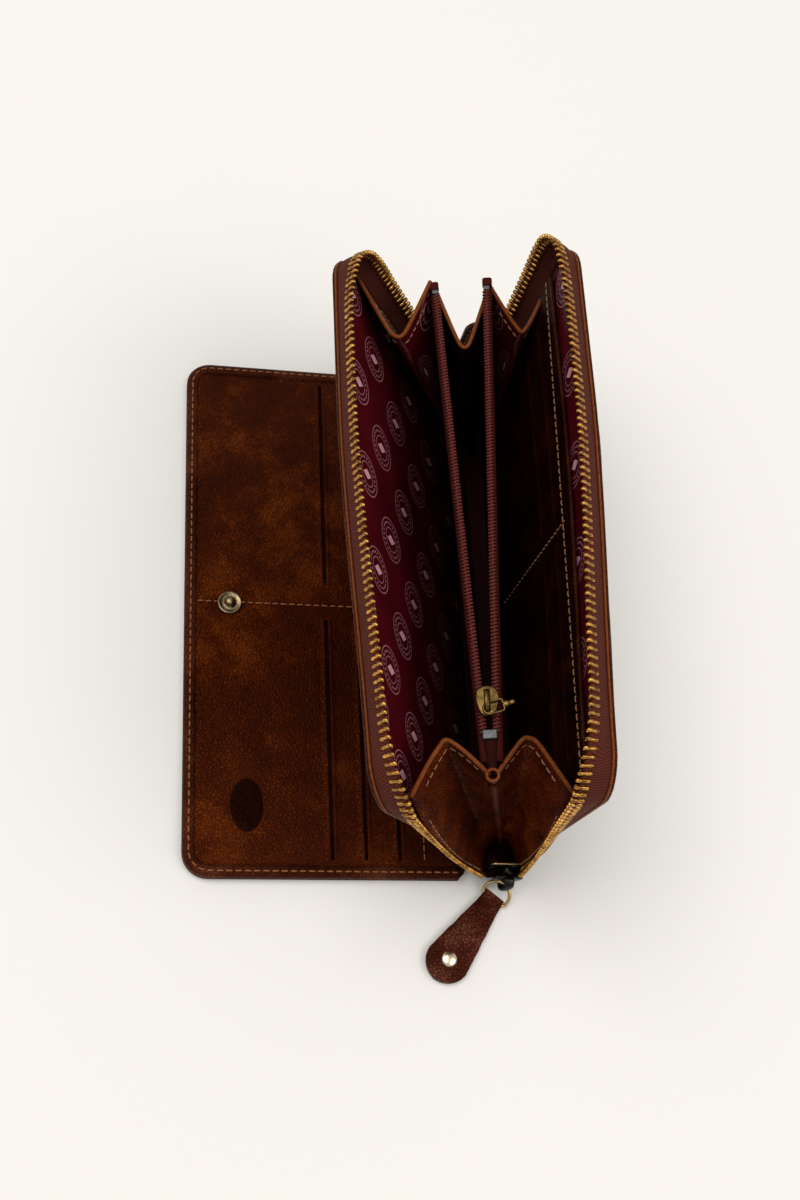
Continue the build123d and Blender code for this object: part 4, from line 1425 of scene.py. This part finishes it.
def strip(name, path_at, thick, halves, material, steps=60):
    """A leather strip along Y: path_at(y) gives its section's (x, z) points, halves their reach along Y."""
    rings = []
    for share in spread(-1, 1, steps):
        path = path_at(share * halves[-1])
        sides = ([], [])
        for i, (x, z) in enumerate(path):
            (ax, az), (bx, bz) = path[max(i - 1, 0)], path[min(i + 1, len(path) - 1)]
            length = hypot(bx - ax, bz - az)
            nx, nz = -(bz - az) / length * thick / 2, (bx - ax) / length * thick / 2
            y = share * halves[min(i, len(halves) - 1)]
            sides[0].append(Vector((x + nx, y, z + nz)))
            sides[1].append(Vector((x - nx, y, z - nz)))
        rings.append(sides[0] + sides[1][::-1])
    return ringed(rings).piece(name, material, None, "outer_leather")


def make_spine_folds():
    """The spine's leather goes on round each edge and up into the cover."""
    radius = 1.32
    for side, lean, body in ((-1, LEFT_LEAN, "left_cover"), (1, RIGHT_LEAN, "right_cover")):
        path = [(side * (PIVOT_X - 0.9), PIVOT_Z - radius)]
        for k in range(9):
            a = radians((90 - lean) * k / 8)
            path.append((side * (PIVOT_X + radius * sin(a)), PIVOT_Z - radius * cos(a)))
        piece = strip(f"spine_fold_{body}", lambda y: path, 1.3, [90.0], COVER)
        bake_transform(piece)


def make_flap_fold():
    """The leather that joins the flap to the left cover's outer face, wide below and narrower above."""
    base = [(-17.2, 2.1), (-15.2, 1.95), (-14.2, 1.9), (-13.3, 2.2), (-13.0, 2.8)]

    def path_at(y):
        up = [on_left(-2.75, y, u) for u in (4.4, 6.0, 8.0, 10.0)]
        return base + [(p.x, p.z) for p in up]

    piece = strip("flap_fold", path_at, 0.9, [99.6, 99.4, 98.8, 97.6, 96.0, 94.2, 93.0, 92.0, 91.6], COVER)
    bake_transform(piece)


def make_end_tab():
    """The rounded leather tab outside the far foot of the zip."""
    outline = [(-6, 0.2), (6, 0.2)]
    outline += [(6 * cos(radians(a)), 32 + 6 * sin(radians(a))) for a in range(0, 181, 12)]

    def place(x, y, z):
        return Vector((x - 1.5, 106.0 - z, y))

    tab = smooth_plate(place, outline, 0.0, 1.6, 0.5)
    tab.piece("zip_end_tab_leather", TAB, "spine", "outer_leather", ["zip_end_tab"])
    turn = [radians(a) for a in range(180, -1, -15)]
    seam = [place(4.3 * cos(a), 32 + 4.3 * sin(a), 1.6) for a in turn]
    path = [place(-4.3, 3, 1.6)] + seam + [place(4.3, 3, 1.6)]
    stitch_row("end_tab_stitching", path, (0, -1, 0), "spine", THREAD, pitch=2.6, length=1.9, radius=0.24)


# ---- main slider, ring and pull tab ----


def on_chain(x, y, z):
    """Local -Y is outwards, +Z up the chain; the origin is in the middle of the closed chain."""
    u = SLIDER_HEIGHT
    base_y = COVER_HALF_BOTTOM + u * tan(END_TILT) + CHAIN_OUT / cos(END_TILT)
    c, s = cos(END_TILT), sin(END_TILT)
    y, z = y * c - z * s, y * s + z * c
    px, pz = turned(x - PIVOT_X, z + u, RIGHT_LEAN)
    return Vector((px + PIVOT_X, y - base_y, pz + PIVOT_Z))


def make_main_slider():
    """Two dark plates on a neck, a bright rim at the mouth, and the bail that carries the ring."""
    wide = rounded_outline([(-4.2, -5), (4.2, -5), (6.3, 1.2), (5.6, 3.6), (-5.6, 3.6), (-6.3, 1.2)], 1.8)
    narrow = rounded_outline([(-3.4, -5), (3.4, -5), (5.4, 1.0), (4.9, 3.2), (-4.9, 3.2), (-5.4, 1.0)], 1.7)

    def plate_place(x, y, z):
        return on_chain(x, -z, y)

    outward = (plate_place(0, 0, 1) - plate_place(0, 0, 0)).normalized()
    body = smooth_plate(plate_place, narrow, 3.6, 4.7, 0.4)
    merge(body, smooth_plate(plate_place, wide, -0.9, 0.3, 0.4))
    for side in (-1, 1):
        corners = ((4.6, -4.4), (5.5, -1.0), (6.0, 1.2), (5.5, 3.0))
        lip = [plate_place(side * x, y, 0.5) for x, y in corners]
        body.rings(tube_rings(lip, 0.55, 8, up=outward))
    neck = [plate_place(0, y, 1.9) for y in (-1.5, -1.2, 2.4, 3.0)]
    body.rings(tube_rings(neck, 1.5, 12, (0.3, 0.9, 1, 0.6), 1.3))
    bail = [(-4.2, 2.9), (-5.4, 3.1), (-6.7, 2.6), (-7.35, 1.2), (-7.5, -2.0), (-7.3, -3.6)]
    bail += [(-6.4, -4.4), (-5.2, -4.6), (-4.0, -4.2)]
    path = [on_chain(0, y, z) for y, z in bail]
    body.rings(tube_rings(path, 0.62, 12, flat=3.0, up=Vector((1, 0, 0))))
    body.piece("main_slider", DARK_METAL, "main_slider", "dark_slider_metal", ["main_slider_body"])
    mouth = [(x, y) for x, y in wide if y > -2.0]
    mouth.sort(key=lambda p: atan2(p[1] + 3, -p[0]))
    path = [plate_place(x * 0.99, y + 0.1, -0.3) for x, y in mouth]
    rim = ringed(tube_rings(path, 0.42, 8, up=outward))
    rim.piece("main_slider_rim", RING_BRASS, "main_slider", "ring_brass")


BAIL = on_chain(0, -5.6, -2.6)
RING_SLOPE = degrees(asin((BAIL.z - TAB_SLEEVE) / RING_DEPTH))


def at_pull(x, y, z, slope=0.0):
    """Pull pieces are built along +X from the ring's bar and turned towards the flap."""
    x, z = turned(x, z, slope)
    turn = radians(-90 - PULL_TURN)
    c, s = cos(turn), sin(turn)
    reach = RING_DEPTH * cos(radians(RING_SLOPE))
    return Vector((BAIL.x + (reach + x) * c - y * s, BAIL.y + (reach + x) * s + y * c, TAB_SLEEVE + z))


def make_pull():
    bow_x = RING_HALF - RING_DEPTH
    path = [(0, y) for y in spread(-RING_HALF + 0.7, RING_HALF - 0.7, 6)]
    path += [(-0.25, RING_HALF - 0.2), (-0.8, RING_HALF)]
    for k in range(19):
        a = pi / 2 + pi * k / 18
        path.append((bow_x + RING_HALF * cos(a), RING_HALF * sin(a)))
    path += [(-0.8, -RING_HALF), (-0.25, -RING_HALF + 0.2)]
    up = (at_pull(0, 0, 1, RING_SLOPE) - at_pull(0, 0, 0, RING_SLOPE)).normalized()
    ring = Solid()
    ring.loop(closed_tube([at_pull(x, y, 0, RING_SLOPE) for x, y in path], 0.62, up, 10))
    ring.piece("pull_d_ring", RING_BRASS, "pull_ring", "ring_brass", ["pull_ring"])
    make_tab()
    dome = [(2.65, -0.15), (2.7, 0.1), (2.5, 0.4), (1.9, 0.68), (1.0, 0.85), (0.08, 0.9)]
    back = [(0.08, -2.62), (1.5, -2.6), (2.0, -2.45), (1.6, -2.2), (1.5, -0.1)]
    head, back_head = (lathe(half, at_pull(RIVET_X, 0, 1.15), (0, 0, 1), 28) for half in (dome, back))
    merge(head, back_head)
    head.piece("pull_rivet", RIVET_BRASS, "pull_tab", "rivet_brass", ["pull_tab_rivet"])


def make_tab():
    """The folded leather tab, narrow at the ring and round at its end."""
    straight = TAB_LENGTH - TAB_END_RADIUS
    stations = [-1.5, -1.25, -0.8, 0.0, 1.0, 2.0, 3.2] + spread(4.5, straight - 0.6, 22)
    angles = (0, 10, 20, 30, 40, 50, 60, 68, 75, 81, 86)
    stations += [straight + TAB_END_RADIUS * sin(radians(a)) for a in angles]
    stations += [TAB_LENGTH - 0.03]
    rings = []
    for x in stations:
        if x < straight:
            half = TAB_START_HALF + (TAB_END_RADIUS - TAB_START_HALF) * max(0, x - 1.5) / (straight - 1.5)
            half += 0.25 * soft_noise(x, 0, 0.3, 3.1) * min(1, (straight - x) / 4)
        else:
            half = sqrt(max(0.01, TAB_END_RADIUS ** 2 - (x - straight) ** 2))
        if x < 0:
            high = low = sqrt(max(0.02, TAB_SLEEVE ** 2 - x * x))
        else:
            high, low = TAB_SLEEVE - 0.35 * min(1, x / 3.2), TAB_SLEEVE
        ring = []
        for c, s in circle(28):
            y = half * copysign(abs(c) ** 0.45, c)
            z = (high if s > 0 else low) * copysign(abs(s) ** 0.45, s)
            if s > 0:
                z += 0.16 * soft_noise(x, y, 0.25, 8.0) * min(1, abs(s) * 2)
            ring.append(at_pull(x, y, z))
        rings.append(ring)
    ringed(rings).piece("pull_tab", TAB, "pull_tab", "outer_leather", ["pull_tab_leather"])


# ---- the whole wallet, then the studio ----


def make_studio():
    """A plain pale floor, soft light from all round, a broad key from the left and a weaker fill."""
    g = Graph("studio_floor")
    g.finish((0.885, 0.862, 0.815), 0.9)
    bpy.ops.mesh.primitive_plane_add(size=6, location=(0, 0, -0.0002))
    floor = bpy.context.object
    floor.name = "studio_floor"
    floor.data.materials.append(g.material)
    world = bpy.data.worlds.new("studio")
    world.use_nodes = True
    world.node_tree.nodes["Background"].inputs[0].default_value = (1.0, 0.985, 0.96, 1)
    world.node_tree.nodes["Background"].inputs[1].default_value = 0.46
    bpy.context.scene.world = world
    lights = (
        ("key", (-0.75, 0.25, 2.0), 24.0, 1.5),
        ("fill", (1.2, -0.5, 1.7), 14.0, 1.4),
    )
    for name, place, power, size in lights:
        lamp = bpy.data.lights.new(name, "AREA")
        lamp.energy = power
        lamp.size = size
        holder = bpy.data.objects.new(name, lamp)
        holder.location = place
        look = Vector((-0.03, 0, 0.03)) - Vector(place)
        holder.rotation_euler = look.to_track_quat("-Z", "Y").to_euler()
        bpy.context.collection.objects.link(holder)
    bpy.context.scene.view_settings.view_transform = "Standard"


def make_camera():
    data = bpy.data.cameras.new("camera")
    data.lens = 47.4
    data.sensor_width = 36
    data.clip_start = 0.01
    camera = bpy.data.objects.new("camera", data)
    forward = Vector((0.206, 0.408, -0.889)).normalized()
    up = Vector((-0.044, 0.912, 0.408))
    right = forward.cross(up).normalized()
    up = right.cross(forward)
    turn = Matrix((right, up, -forward)).transposed()
    camera.matrix_world = Matrix.Translation(Vector((-151.1, -233.1, 520.6)) * MM) @ turn.to_4x4()
    bpy.context.collection.objects.link(camera)
    bpy.context.scene.camera = camera


for cover in COVER_PLACES:
    make_cover(cover)
make_card_panel()
make_flap()
make_snap()
make_gussets()
make_coin_pocket()
make_spine()
make_main_slider()
make_pull()
make_studio()
make_camera()
